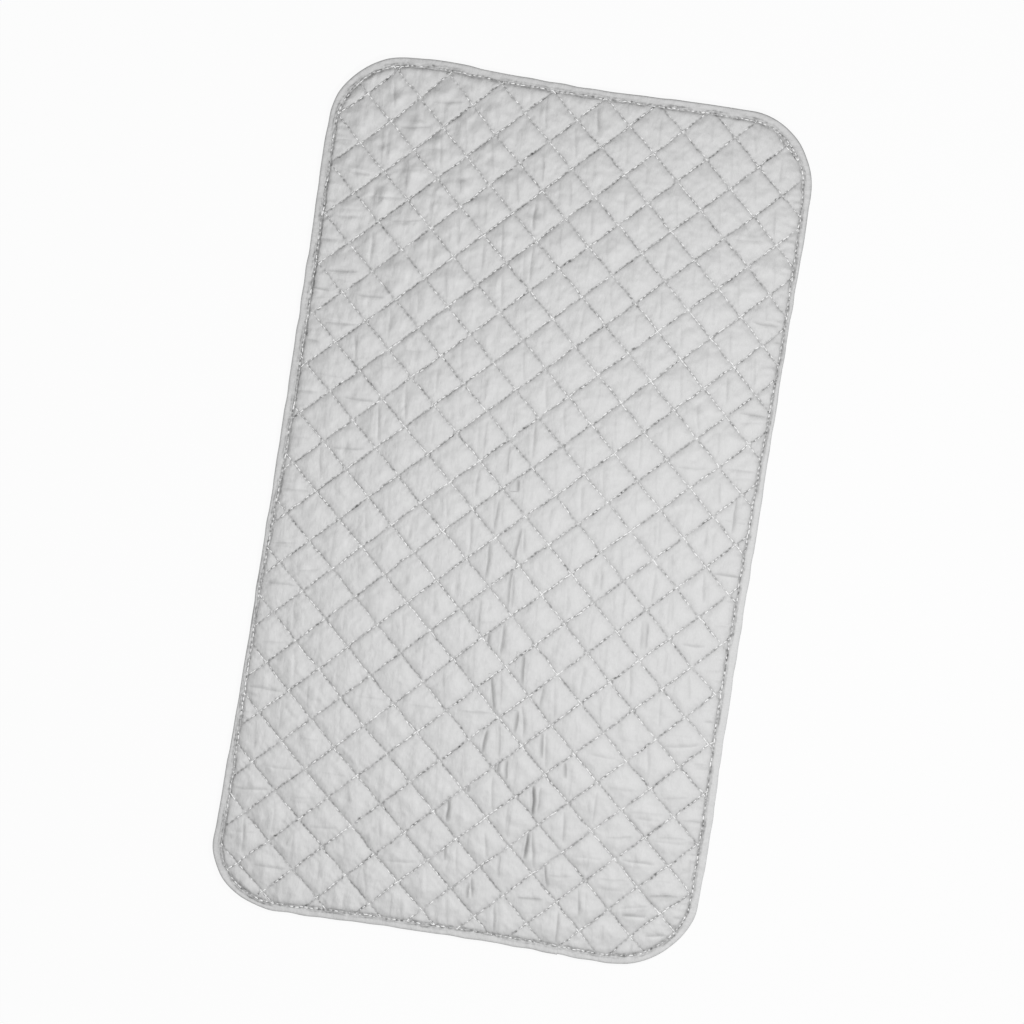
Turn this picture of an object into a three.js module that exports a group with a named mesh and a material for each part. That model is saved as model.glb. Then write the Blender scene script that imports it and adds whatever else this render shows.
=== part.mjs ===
// Quilted ironing pad: a stack of cloth and wadding layers, stitched through in diamonds and bound
// all round with a folded tape. It lies flat, with its underside on Z = 0 and its long side along Y.
// All sizes are in millimetres.

import * as THREE from 'three';

// Outline of the finished pad
const PAD_WIDTH = 480;
const PAD_LENGTH = 850;
const CORNER_RADIUS = 67;
const CORNER_STEPS = 10;

// Layers, from the underside up
const BACKING_THICKNESS = 0.4;
const FELT_THICKNESS = 1.0;
const FILM_THICKNESS = 0.1;
const WADDING_THICKNESS = 0.8;
const COVER_AT_STITCH = 0.4;
const LAYER_GAP = 0.1;

// Quilting: two families of parallel stitch lines, by angle from +X and by the distance from the
// pad's centre to one line of the family
const STITCH_LINE_PITCH = 36;
const RISING_LINE_ANGLE = 45.1;
const RISING_LINE_OFFSET = 24;
const FALLING_LINE_ANGLE = 138;
const FALLING_LINE_OFFSET = -4.5;

// Puffs between the stitch lines. A clipped diamond at the edge puffs less than a whole one, and
// stays flat under a given share of it.
const PUFF_HEIGHT = 2.2;
const FLAT_BELOW_SHARE = 0.5;

// Binding tape, folded round the cut edges, with its ends lapped on the front edge
const TAPE_THICKNESS = 0.7;
const TAPE_LEAF = 9.6;
const FOLD_RADIUS = 2.0;
const FOLD_STEPS = 3;
const EDGE_CLEARANCE = 0.3;
const LAP_END_X = 108;
const LAP_LENGTH = 14;
const LAP_FADE_LENGTH = 8;
const LAP_STEP_LENGTH = 0.8;
const LAP_RISE = 0.5;

// Binding seam: a needle thread on the upper leaf and a bobbin thread under the lower one, both
// drawn down into the tape
const SEAM_INSET = 7.6;
const SEAM_THREAD = 0.5;
const SEAM_SINK = 0.35;
const SEAM_CLEARANCE = 0.25;
const THREAD_SIDES = 6;

// Points closer than this are one point
const WELD = 0.02;

// Levels of the layers
const backingZ = TAPE_THICKNESS + LAYER_GAP;
const feltZ = backingZ + BACKING_THICKNESS + LAYER_GAP;
const filmZ = feltZ + FELT_THICKNESS + LAYER_GAP;
const waddingZ = filmZ + FILM_THICKNESS + LAYER_GAP;
const coverZ = waddingZ + WADDING_THICKNESS + LAYER_GAP;
const stitchZ = coverZ + COVER_AT_STITCH;
const bindingHeight = stitchZ + LAYER_GAP + TAPE_THICKNESS;

// The layers are cut where the fold of the tape is flat, and puff inside the tape's edge
const layerInset = FOLD_RADIUS + EDGE_CLEARANCE;
const quiltInset = TAPE_LEAF + EDGE_CLEARANCE;

// Stations round the outer edge, counter-clockwise from the right-hand end of the front edge. Each
// has its point on the edge, the direction inward and how far the lapped tape rises there.
function cornerStations(centreX, centreY, startAngle) {
  const stations = [];
  for (let step = 0; step <= CORNER_STEPS; step += 1) {
    const angle = startAngle + (step / CORNER_STEPS) * (Math.PI / 2);
    const outward = new THREE.Vector2(Math.cos(angle), Math.sin(angle));
    const edge = new THREE.Vector2(centreX, centreY).addScaledVector(outward, CORNER_RADIUS);
    stations.push({ edge, inward: outward.negate(), rise: 0 });
  }
  return stations;
}

function edgeStations() {
  const x = PAD_WIDTH / 2 - CORNER_RADIUS;
  const y = PAD_LENGTH / 2 - CORNER_RADIUS;
  return [
    ...cornerStations(x, -y, -Math.PI / 2),
    ...cornerStations(x, y, 0),
    ...cornerStations(-x, y, Math.PI / 2),
    ...cornerStations(-x, -y, Math.PI),
  ];
}

// The tape's upper end is turned under and makes a step, and the end below it fades out
function lapStations() {
  const fadeX = LAP_END_X - LAP_LENGTH;
  const places = [
    [fadeX, 0],
    [fadeX + LAP_FADE_LENGTH, LAP_RISE],
    [LAP_END_X - LAP_STEP_LENGTH, LAP_RISE],
    [LAP_END_X, 0],
  ];
  return places.map(([x, rise]) => ({
    edge: new THREE.Vector2(x, -PAD_LENGTH / 2),
    inward: new THREE.Vector2(0, 1),
    rise,
  }));
}

const layerStations = edgeStations();
const tapeStations = [...layerStations, ...lapStations()];

function stationPoint(station, inset) {
  return station.edge.clone().addScaledVector(station.inward, inset);
}

function outline(inset) {
  return layerStations.map((station) => stationPoint(station, inset));
}

// Builders

function solidGeometry(points, triangles) {
  const geometry = new THREE.BufferGeometry();
  geometry.setAttribute('position', new THREE.Float32BufferAttribute(points.flat(), 3));
  geometry.setIndex(triangles.flat());
  geometry.computeVertexNormals();
  return geometry;
}

// A flat layer with the pad's outline
function layerGeometry(z, thickness) {
  const shape = new THREE.Shape(outline(layerInset));
  const geometry = new THREE.ExtrudeGeometry(shape, { depth: thickness, bevelEnabled: false });
  return geometry.translate(0, 0, z);
}

// A closed ring that carries one section round the edge. The section's points are [inset, z],
// counter-clockwise, and it may follow the rise of the lapped tape.
function ringGeometry(sectionAt) {
  const points = [];
  const triangles = [];
  const sides = sectionAt(0).length;
  const count = tapeStations.length;
  tapeStations.forEach((station, turn) => {
    const next = (turn + 1) % count;
    sectionAt(station.rise).forEach(([inset, z], side) => {
      const place = stationPoint(station, inset);
      points.push([place.x, place.y, z]);
      const nextSide = (side + 1) % sides;
      const a = turn * sides + side;
      const b = turn * sides + nextSide;
      const c = next * sides + nextSide;
      const d = next * sides + side;
      triangles.push([a, b, c], [a, c, d]);
    });
  });
  return solidGeometry(points, triangles);
}

// Surface of points that weld where they meet
class Surface {
  constructor() {
    this.points = [];
    this.triangles = [];
    this.known = new Map();
  }

  point(x, y, z) {
    const key = [x, y, z].map((value) => Math.round(value / WELD)).join(' ');
    if (!this.known.has(key)) {
      this.known.set(key, this.points.length);
      this.points.push([x, y, z]);
    }
    return this.known.get(key);
  }

  loop(places, z) {
    const loop = places.map((place) => this.point(place.x, place.y, z));
    return loop.filter((index, i) => index !== loop[(i + 1) % loop.length]);
  }

  fan(centre, loop) {
    loop.forEach((index, i) => this.triangles.push([centre, index, loop[(i + 1) % loop.length]]));
  }

  flat(loop) {
    for (let i = 1; i + 1 < loop.length; i += 1) {
      this.triangles.push([loop[0], loop[i], loop[i + 1]]);
    }
  }

  // Edges that only one triangle has, chained into the loop round the surface
  border() {
    const follows = new Map();
    for (const [a, b, c] of this.triangles) {
      for (const [from, to] of [[a, b], [b, c], [c, a]]) {
        follows.set(`${from} ${to}`, [from, to]);
      }
    }
    const open = new Map();
    for (const [from, to] of follows.values()) {
      if (!follows.has(`${to} ${from}`)) open.set(from, to);
    }
    const [start] = open.keys();
    const loop = [start];
    while (open.get(loop.at(-1)) !== start) loop.push(open.get(loop.at(-1)));
    return loop;
  }

  distance(a, b) {
    return Math.hypot(...this.points[a].map((value, axis) => value - this.points[b][axis]));
  }

  // A band from one loop to the next, always along the shorter diagonal
  band(inner, outer) {
    const near = outer.map((index) => this.distance(inner[0], index));
    const start = near.indexOf(Math.min(...near));
    const turned = [...outer.slice(start), ...outer.slice(0, start)];
    let i = 0;
    let o = 0;
    while (i < inner.length || o < turned.length) {
      const a = inner[i % inner.length];
      const b = turned[o % turned.length];
      const nextA = inner[(i + 1) % inner.length];
      const nextB = turned[(o + 1) % turned.length];
      const innerTurn = o === turned.length
        || (i < inner.length && this.distance(nextA, b) < this.distance(a, nextB));
      if (innerTurn) {
        this.triangles.push([a, b, nextA]);
        i += 1;
      } else {
        this.triangles.push([a, b, nextB]);
        o += 1;
      }
    }
  }
}

// Stitch lattice

function lineNormal(degrees) {
  const angle = THREE.MathUtils.degToRad(degrees);
  return new THREE.Vector2(-Math.sin(angle), Math.cos(angle));
}

const risingNormal = lineNormal(RISING_LINE_ANGLE);
const fallingNormal = lineNormal(FALLING_LINE_ANGLE);
const latticeTurn = risingNormal.cross(fallingNormal);
const wholeDiamond = STITCH_LINE_PITCH ** 2 / Math.abs(latticeTurn);

// Where a rising line crosses a falling one, by the count of pitches from each family's first line
function crossing(rising, falling) {
  const p = RISING_LINE_OFFSET + rising * STITCH_LINE_PITCH;
  const q = FALLING_LINE_OFFSET + falling * STITCH_LINE_PITCH;
  return new THREE.Vector2(
    (p * fallingNormal.y - q * risingNormal.y) / latticeTurn,
    (q * risingNormal.x - p * fallingNormal.x) / latticeTurn,
  );
}

// The part of a polygon that lies inside a convex outline
function clip(polygon, convex) {
  let kept = polygon;
  convex.forEach((from, i) => {
    const along = convex[(i + 1) % convex.length].clone().sub(from);
    const side = (place) => along.cross(place.clone().sub(from));
    const next = [];
    kept.forEach((place, k) => {
      const last = kept[(k + kept.length - 1) % kept.length];
      const here = side(place);
      const before = side(last);
      if (here * before < 0) next.push(last.clone().lerp(place, before / (before - here)));
      if (here >= 0) next.push(place);
    });
    kept = next;
  });
  return kept;
}

function diamonds() {
  const boundary = outline(quiltInset);
  const reach = Math.ceil(Math.hypot(PAD_WIDTH, PAD_LENGTH) / 2 / STITCH_LINE_PITCH) + 1;
  const cells = [];
  for (let rising = -reach; rising < reach; rising += 1) {
    for (let falling = -reach; falling < reach; falling += 1) {
      const corners = [[0, 0], [0, 1], [1, 1], [1, 0]];
      const places = corners.map(([r, f]) => crossing(rising + r, falling + f));
      if (THREE.ShapeUtils.area(places) < 0) places.reverse();
      const cell = clip(places, boundary);
      if (cell.length > 2) cells.push(cell);
    }
  }
  return cells;
}

// The cover, flat below. Its top is held down along every stitch line and under the tape, and
// rises to a crown in each diamond, with the loft of the wadding drawn up into it.
function coverGeometry() {
  const surface = new Surface();
  for (const cell of diamonds()) {
    const loop = surface.loop(cell, stitchZ);
    const share = THREE.ShapeUtils.area(cell) / wholeDiamond;
    if (share >= FLAT_BELOW_SHARE) {
      const middle = new THREE.Vector2();
      cell.forEach((place) => middle.addScaledVector(place, 1 / cell.length));
      const crown = surface.point(middle.x, middle.y, stitchZ + PUFF_HEIGHT * share);
      surface.fan(crown, loop);
    } else {
      surface.flat(loop);
    }
  }
  const edge = outline(layerInset);
  const topEdge = surface.loop(edge, stitchZ);
  const floorEdge = surface.loop(edge, coverZ);
  surface.band(surface.border(), topEdge);
  surface.band(topEdge, floorEdge);
  surface.flat([...floorEdge].reverse());
  return solidGeometry(surface.points, surface.triangles);
}

// Binding tape and its seam

// Points of a rounded fold between two directions, given as quarter turns from +inset
function foldArc(inset, z, radius, startQuarter) {
  const points = [];
  for (let step = 0; step <= FOLD_STEPS; step += 1) {
    const angle = (startQuarter + step / FOLD_STEPS) * (Math.PI / 2);
    points.push([inset + radius * Math.cos(angle), z + radius * Math.sin(angle)]);
  }
  return points;
}

// A groove of the seam in one face of the tape, from its near side to its far side
function seamGroove(faceZ, floorZ, direction) {
  const half = (SEAM_THREAD / 2 + SEAM_CLEARANCE) * direction;
  return [
    [SEAM_INSET - half, faceZ],
    [SEAM_INSET - half, floorZ],
    [SEAM_INSET + half, floorZ],
    [SEAM_INSET + half, faceZ],
  ];
}

function bindingSection(rise) {
  const top = bindingHeight + rise;
  const roof = bindingHeight - TAPE_THICKNESS;
  return [
    [TAPE_LEAF, 0],
    [TAPE_LEAF, TAPE_THICKNESS],
    [FOLD_RADIUS, TAPE_THICKNESS],
    [TAPE_THICKNESS, FOLD_RADIUS],
    [TAPE_THICKNESS, bindingHeight - FOLD_RADIUS],
    [FOLD_RADIUS, roof],
    [TAPE_LEAF, roof],
    [TAPE_LEAF, top],
    ...seamGroove(top, top - SEAM_SINK, -1),
    ...foldArc(FOLD_RADIUS, top - FOLD_RADIUS, FOLD_RADIUS, 1),
    ...foldArc(FOLD_RADIUS, FOLD_RADIUS, FOLD_RADIUS, 2),
    ...seamGroove(0, SEAM_SINK, 1),
  ];
}

function needleThreadSection(rise) {
  const radius = SEAM_THREAD / 2;
  const middleZ = bindingHeight + rise - SEAM_SINK + LAYER_GAP + radius;
  const points = [];
  for (let side = 0; side < THREAD_SIDES; side += 1) {
    const angle = (side / THREAD_SIDES) * Math.PI * 2;
    points.push([SEAM_INSET + radius * Math.cos(angle), middleZ + radius * Math.sin(angle)]);
  }
  return points;
}

// The bobbin thread is pressed flat by what the pad lies on
function bobbinThreadSection() {
  const half = SEAM_THREAD / 2;
  const top = SEAM_SINK - LAYER_GAP;
  return [
    [SEAM_INSET - half, 0],
    [SEAM_INSET + half, 0],
    [SEAM_INSET + half, top],
    [SEAM_INSET - half, top],
  ];
}

// Assembly

const pad = new THREE.Group();

function addPiece(name, geometry, color, roughness, metalness) {
  const material = new THREE.MeshStandardMaterial({ color, roughness, metalness });
  const mesh = new THREE.Mesh(geometry, material);
  mesh.name = name;
  pad.add(mesh);
}

addPiece('backing_cloth', layerGeometry(backingZ, BACKING_THICKNESS), 0xc4c4c2, 0.9, 0);
addPiece('insulating_felt', layerGeometry(feltZ, FELT_THICKNESS), 0xdedad0, 0.95, 0);
addPiece('reflective_film', layerGeometry(filmZ, FILM_THICKNESS), 0xd8dadc, 0.25, 0.9);
addPiece('wadding', layerGeometry(waddingZ, WADDING_THICKNESS), 0xf2f1ec, 0.95, 0);
addPiece('top_cover', coverGeometry(), 0xcfcfcf, 0.7, 0.1);
addPiece('edge_binding', ringGeometry(bindingSection), 0xcbcbcb, 0.8, 0);
addPiece('seam_needle_thread', ringGeometry(needleThreadSection), 0xe2e2e2, 0.6, 0);
addPiece('seam_bobbin_thread', ringGeometry(bobbinThreadSection), 0xe2e2e2, 0.6, 0);

export default pad;
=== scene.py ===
"""Looks of a quilted ironing pad: a puffed cover sewn in diamonds and bound all round with folded tape.

The pad lies on the floor with its long side along Y and its underside on Z = 0, in metres. Each piece is
laid out straight first, and then takes the slight drift of the edges that the real pad has.
"""
from __future__ import annotations

import logging
import math
from dataclasses import dataclass, field
from enum import Enum

import bpy
import numpy as np
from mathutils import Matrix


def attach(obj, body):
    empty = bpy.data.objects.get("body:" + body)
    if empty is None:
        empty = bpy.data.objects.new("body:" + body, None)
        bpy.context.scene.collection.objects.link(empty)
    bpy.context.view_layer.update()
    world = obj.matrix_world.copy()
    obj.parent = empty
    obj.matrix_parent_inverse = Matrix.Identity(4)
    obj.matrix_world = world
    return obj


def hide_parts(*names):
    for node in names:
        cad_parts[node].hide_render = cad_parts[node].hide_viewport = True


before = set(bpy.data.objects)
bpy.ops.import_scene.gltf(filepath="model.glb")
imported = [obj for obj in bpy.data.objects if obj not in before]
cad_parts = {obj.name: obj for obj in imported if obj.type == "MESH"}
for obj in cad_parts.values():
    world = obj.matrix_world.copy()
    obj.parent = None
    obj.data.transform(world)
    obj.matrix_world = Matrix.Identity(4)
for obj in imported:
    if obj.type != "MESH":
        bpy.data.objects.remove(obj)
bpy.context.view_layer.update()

MM = 0.001
BODY = "root"
LOG = logging.getLogger("ironing_pad")

Array = np.ndarray
Lengths = tuple[float, float, float]


class Direction(Enum):
    """The two ways in which the quilting lines run, seen from above."""

    RISING = 0
    FALLING = 1


class Face(Enum):
    """The pad's two faces."""

    TOP = 1
    UNDERSIDE = -1


class PatternSpace(Enum):
    """What a cloth's weave follows."""

    PIECE = "piece"
    TAPE = "tape"


def eased(share: Array) -> Array:
    """Returns shares from 0 to 1, eased at both ends."""
    return share * share * (3 - 2 * share)


@dataclass(frozen=True)
class SmoothNoise:
    """Seeded smooth noise from -1 to 1 over a plane, with one random value at each corner of a cell."""

    seed: int
    cell_x: float
    cell_y: float
    table_size: int = 256

    def at(self, x: Array, y: Array) -> Array:
        """Reads the noise at places.

        Args:
            x: The places' x.
            y: The places' y.

        Returns:
            The noise, from -1 to 1.
        """
        table = np.random.default_rng(self.seed).uniform(-1, 1, (self.table_size, self.table_size))
        column, across = self._split(x / self.cell_x)
        row, along = self._split(y / self.cell_y)
        next_column = (column + 1) % self.table_size
        next_row = (row + 1) % self.table_size
        near = table[column, row] * (1 - across) + table[next_column, row] * across
        far = table[column, next_row] * (1 - across) + table[next_column, next_row] * across
        return near * (1 - along) + far * along

    def over(self, points: Array) -> Array:
        """Reads the noise at points, with x and y first in the last axis."""
        return self.at(points[..., 0], points[..., 1])

    def _split(self, place: Array) -> tuple[Array, Array]:
        """Splits places into table numbers and eased fractions."""
        whole = np.floor(place)
        part = place - whole
        return whole.astype(int) % self.table_size, eased(part)


@dataclass(frozen=True)
class StitchLattice:
    """Two sets of parallel quilting lines that divide the pad into diamonds.

    A line count is a position across one set, measured in pitches from its first line.
    """

    pitch: float = 36.0 * MM
    rising_angle: float = math.radians(45.1)
    falling_angle: float = math.radians(138.0)
    rising_offset: float = 24.0 * MM
    falling_offset: float = -4.5 * MM
    stitches_per_side: float = 22 / 3

    def normals(self) -> Array:
        """Returns the unit normals of the rising and the falling lines, as two rows."""
        angles = np.array([self.rising_angle, self.falling_angle])
        return np.stack([-np.sin(angles), np.cos(angles)], axis=1)

    def place(self, rising: Array, falling: Array) -> Array:
        """Finds the points at given line counts.

        Args:
            rising: Counts across the rising lines.
            falling: Counts across the falling lines.

        Returns:
            The points' x and y, in the last axis.
        """
        across_rising = self.rising_offset + self.pitch * np.asarray(rising, float)
        across_falling = self.falling_offset + self.pitch * np.asarray(falling, float)
        return np.stack([across_rising, across_falling], axis=-1) @ np.linalg.inv(self.normals()).T

    def counts(self, points: Array) -> tuple[Array, Array]:
        """Finds where points lie between the lines.

        Args:
            points: Points, with x and y first in the last axis.

        Returns:
            The counts across the rising and across the falling lines.
        """
        across = points[..., :2] @ self.normals().T
        rising = (across[..., 0] - self.rising_offset) / self.pitch
        falling = (across[..., 1] - self.falling_offset) / self.pitch
        return rising, falling

    def side(self) -> float:
        """Returns the length of a diamond's side."""
        return self.pitch / abs(math.sin(self.falling_angle - self.rising_angle))

    def stitch_length(self) -> float:
        """Returns the length of one quilting stitch."""
        return self.side() / self.stitches_per_side

    def gaps(self, points: Array) -> tuple[Array, Array]:
        """Returns how far points lie from the nearest rising and falling line."""
        gaps = [np.abs(count - np.round(count)) for count in self.counts(points)]
        return gaps[0] * self.pitch, gaps[1] * self.pitch

    def along_lines(self, points: Array) -> list[tuple[Array, Array]]:
        """Finds each point's place along the nearest line of both sets, and its distance from it.

        Args:
            points: Points, with x and y first in the last axis.

        Returns:
            For the rising and the falling lines, the places in stitches and the distances.
        """
        rising, falling = self.counts(points)
        rising_gap, falling_gap = self.gaps(points)
        stitches = self.stitches_per_side
        return [(falling * stitches, rising_gap), (rising * stitches, falling_gap)]


@dataclass(frozen=True)
class PadOutline:
    """The pad's outer edge, a rectangle with rounded corners."""

    half_width: float = 240.0 * MM
    half_length: float = 425.0 * MM
    corner_radius: float = 67.0 * MM

    def inset(self, points: Array) -> Array:
        """Measures how far points lie inside the edge.

        Args:
            points: Points, with x and y first in the last axis.

        Returns:
            The distances, negative outside.
        """
        over = np.abs(points[..., :2]) - self._corner_centre()
        outside = np.linalg.norm(np.maximum(over, 0), axis=-1)
        return self.corner_radius - outside - np.minimum(over.max(axis=-1), 0)

    def outwards(self, points: Array) -> Array:
        """Finds the way to the nearest edge.

        Args:
            points: Points, with x and y first in the last axis.

        Returns:
            Unit vectors that point out of the pad.
        """
        over = np.abs(points[..., :2]) - self._corner_centre()
        wider = over[..., :1] > over[..., 1:]
        straight = np.concatenate([wider, ~wider], axis=-1).astype(float)
        corner = (over > 0).all(axis=-1, keepdims=True)
        way = np.where(corner, over, straight) * np.sign(points[..., :2])
        return way / np.linalg.norm(way, axis=-1, keepdims=True)

    def perimeter(self, inset: float) -> float:
        """Returns the length of the loop that runs at an inset from the edge."""
        return float(self._legs(inset).sum())

    def walk(self, distance: Array, inset: float) -> tuple[Array, Array]:
        """Walks round the pad from the middle of its -Y edge, towards +X.

        Args:
            distance: Lengths walked along the loop.
            inset: How far inside the edge the loop runs.

        Returns:
            The points of the outer edge beside each stop, and the unit vectors that point outwards there.
        """
        legs = self._legs(inset)
        ends = np.cumsum(legs)
        travelled = np.asarray(distance, float) % ends[-1]
        leg = np.minimum(np.searchsorted(ends, travelled, side="right"), len(legs) - 1)
        gone = travelled - (ends - legs)[leg]
        turning = leg % 2 == 1
        quarter = (leg // 2) + np.where(turning, gone / legs[1], 0)
        angle = (quarter - 1) * math.pi / 2
        outwards = np.stack([np.cos(angle), np.sin(angle)], axis=-1)
        forwards = np.stack([-np.sin(angle), np.cos(angle)], axis=-1)
        across, along = self._corner_centre()
        corners = [(across, -along), (across, along), (-across, along), (-across, -along)]
        starts = np.array([(0, -along)] + [corner for corner in corners for _ in range(2)])
        straight = np.where(turning, 0, gone)[..., None]
        return starts[leg] + self.corner_radius * outwards + straight * forwards, outwards

    def _corner_centre(self) -> Array:
        """Returns the centre of the +X +Y corner's rounding."""
        return np.array([self.half_width, self.half_length]) - self.corner_radius

    def _legs(self, inset: float) -> Array:
        """Returns the lengths of the straights and bends of a loop, in the order of a walk."""
        across, along = self._corner_centre()
        bend = (self.corner_radius - inset) * math.pi / 2
        return np.array([across, bend, 2 * along, bend, 2 * across, bend, 2 * along, bend, across])


@dataclass(frozen=True)
class EdgePull:
    """A stretch of edge that lies off the straight: its middle, its shift and its reach, in millimetres."""

    x: float
    y: float
    outwards: float
    reach: float


@dataclass(frozen=True)
class ClothSlip:
    """A place where the quilting was sewn off its layout: its middle, shift and reach, in millimetres."""

    x: float
    y: float
    right: float
    up: float
    reach: float


@dataclass(frozen=True)
class EdgeDrift:
    """The slight wander of the pad's edges and of its quilting, as it lies in the photograph."""

    outline: PadOutline
    edge_hold: float = 45.0 * MM
    wobble: float = 0.6 * MM
    wobble_spacing: float = 10.0 * MM
    wobble_start: float = 5.0 * MM
    wobble_seed: int = 81
    slips: tuple[ClothSlip, ...] = (
        ClothSlip(-120, 320, 0.7, -1.7, 150),
        ClothSlip(60, 330, 1.0, 0.7, 150),
        ClothSlip(-140, 170, 1.0, -0.9, 140),
        ClothSlip(170, 230, 1.8, 0.2, 120),
        ClothSlip(-30, -80, -1.2, 2.5, 110),
        ClothSlip(150, -180, -1.1, -2.0, 120),
        ClothSlip(-140, -250, -1.7, -0.8, 130),
        ClothSlip(20, -340, -1.1, -0.4, 120),
    )
    pulls: tuple[EdgePull, ...] = (
        EdgePull(240, 320, 1.7, 75),
        EdgePull(240, -140, -0.9, 90),
        EdgePull(240, -285, 0.7, 45),
        EdgePull(218, -407, -4.0, 45),
        EdgePull(150, -425, 2.2, 40),
        EdgePull(0, -425, -0.9, 70),
        EdgePull(-150, -425, 1.4, 45),
        EdgePull(-231, -388, 4.2, 45),
        EdgePull(-240, -300, 1.8, 80),
        EdgePull(-240, 40, -0.8, 90),
        EdgePull(-240, 325, 1.4, 55),
        EdgePull(-216, 408, -2.8, 45),
        EdgePull(-140, 425, 3.0, 50),
        EdgePull(10, 425, -1.4, 65),
        EdgePull(145, 425, 1.4, 50),
        EdgePull(228, 394, -1.6, 35),
    )

    def move(self, points: Array) -> Array:
        """Moves points laid out straight to where they lie.

        Args:
            points: Points of a piece, three coordinates each.

        Returns:
            The moved points.
        """
        moved = np.array(points, float)
        for pull in self.pulls:
            middle = np.array([pull.x, pull.y]) * MM
            apart = np.sum((points[:, :2] - middle) ** 2, axis=1)
            share = np.exp(-apart / (pull.reach * MM) ** 2)
            moved[:, :2] += share[:, None] * self.outline.outwards(middle) * pull.outwards * MM
        free = np.clip(self.outline.inset(points) / self.edge_hold, 0, 1)
        for slip in self.slips:
            apart = np.sum((points[:, :2] - np.array([slip.x, slip.y]) * MM) ** 2, axis=1)
            share = free * np.exp(-apart / (slip.reach * MM) ** 2)
            moved[:, :2] += share[:, None] * np.array([slip.right, slip.up]) * MM
        inside = self.outline.inset(points) - self.wobble_start
        loose = self.wobble * np.clip(inside / self.wobble_spacing, 0, 1)
        for axis in range(2):
            noise = SmoothNoise(self.wobble_seed + axis, self.wobble_spacing, self.wobble_spacing)
            moved[:, axis] += loose * noise.over(points)
        return moved


@dataclass(frozen=True)
class Levels:
    """Heights of the pad's layers above the floor."""

    backing_groove: float = 0.85 * MM
    backing_crown: float = 0.15 * MM
    backing_cloth: float = 0.35 * MM
    felt: tuple[float, float] = (1.3 * MM, 2.3 * MM)
    film: tuple[float, float] = (2.4 * MM, 2.5 * MM)
    wadding: tuple[float, float] = (2.6 * MM, 3.4 * MM)
    cover_floor: float = 3.5 * MM
    hem: float = 3.65 * MM
    stitch: float = 4.4 * MM


@dataclass(frozen=True)
class NarrowTape:
    """A stretch where less of the tape shows on top: its middle, its reach and the loss, in millimetres."""

    x: float
    y: float
    loss: float
    reach: float


@dataclass(frozen=True)
class PadPlan:
    """What all the pieces share: the quilting lines, the outline, its drift and the layers' heights."""

    lattice: StitchLattice = StitchLattice()
    outline: PadOutline = PadOutline()
    levels: Levels = Levels()
    cut_edge: float = 2.3 * MM
    seam_inset: float = 8.1 * MM
    seam_lip: float = 0.9 * MM
    seam_stitch: float = 4.85 * MM
    seam_wander: float = 0.5 * MM
    seam_noise: SmoothNoise = SmoothNoise(83, 9.0 * MM, 9.0 * MM)
    shaded_gaps: tuple[float, float] = (-5.0 * MM, 40.0 * MM)
    narrow: tuple[NarrowTape, ...] = (
        NarrowTape(-240, -140, 4.4, 125),
        NarrowTape(240, 200, 3.6, 115),
        NarrowTape(240, -150, -1.3, 170),
        NarrowTape(-185, -424, 1.2, 30),
        NarrowTape(185, 400, -1.0, 80),
    )

    def drift(self) -> EdgeDrift:
        """Returns the wander of the pad's edges."""
        return EdgeDrift(self.outline)

    def seam_stitches(self) -> int:
        """Returns how many stitches go once round the binding."""
        return round(self.outline.perimeter(self.seam_inset) / self.seam_stitch)

    def seam_stitch_length(self) -> float:
        """Returns the length of one of the binding's stitches."""
        return self.outline.perimeter(self.seam_inset) / self.seam_stitches()

    def seam(self, points: Array) -> Array:
        """Works out how far inside the edge the binding's seam runs near points.

        Args:
            points: Points, with x and y first in the last axis.

        Returns:
            The seam's insets.
        """
        inset = np.full(points.shape[:-1], self.seam_inset)
        for part in self.narrow:
            apart = np.sum((points[..., :2] / MM - np.array([part.x, part.y])) ** 2, axis=-1)
            inset = inset - part.loss * MM * np.exp(-apart / part.reach**2)
        beside = points[..., :2] + self.outline.inset(points)[..., None] * self.outline.outwards(points)
        return inset + self.seam_wander * self.seam_noise.over(beside)

    def quilt_gap(self, points: Array) -> Array:
        """Returns how far points lie inside the binding's inner edge, negative under the tape."""
        return self.outline.inset(points) - self.seam(points) - self.seam_lip

    def cut_size(self) -> tuple[float, float]:
        """Returns the width and the length of the layers inside the tape."""
        return 2 * (self.outline.half_width - self.cut_edge), 2 * (self.outline.half_length - self.cut_edge)

    def lay(self, draft: MeshDraft) -> None:
        """Keeps each point's place in the straight layout, and moves the point to where it lies."""
        edge_gap = np.clip(self.quilt_gap(draft.points), *self.shaded_gaps)
        # The laid-out place and edge gap tell QuiltShade where to paint its shade.
        draft.attributes[QuiltShade.PLACE] = np.column_stack([draft.points[:, :2], edge_gap])
        draft.points = self.drift().move(draft.points)


class Value:
    """A number in a node tree, which Python arithmetic turns into Math nodes."""

    def __init__(self, owner: NodeGarden, socket: bpy.types.NodeSocket) -> None:
        """Keeps the socket that gives the number, and the tree that it is in."""
        self.owner = owner
        self.socket = socket

    def math(self, operation: str, *others: Value | float) -> Value:
        """Adds a Math node that takes this number first, and returns its result."""
        return self.owner.math(operation, self, *others)

    def __add__(self, other: Value | float) -> Value:
        """Returns self + other."""
        return self.math("ADD", other)

    __radd__ = __add__

    def __sub__(self, other: Value | float) -> Value:
        """Returns self - other."""
        return self.math("SUBTRACT", other)

    def __rsub__(self, other: float) -> Value:
        """Returns other - self."""
        return self.owner.math("SUBTRACT", other, self)

    def __mul__(self, other: Value | float) -> Value:
        """Returns self * other."""
        return self.math("MULTIPLY", other)

    __rmul__ = __mul__

    def __truediv__(self, other: Value | float) -> Value:
        """Returns self / other."""
        return self.math("DIVIDE", other)

    def __neg__(self) -> Value:
        """Returns -self."""
        return self.math("MULTIPLY", -1.0)

    def __abs__(self) -> Value:
        """Returns the absolute value."""
        return self.math("ABSOLUTE")


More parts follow.
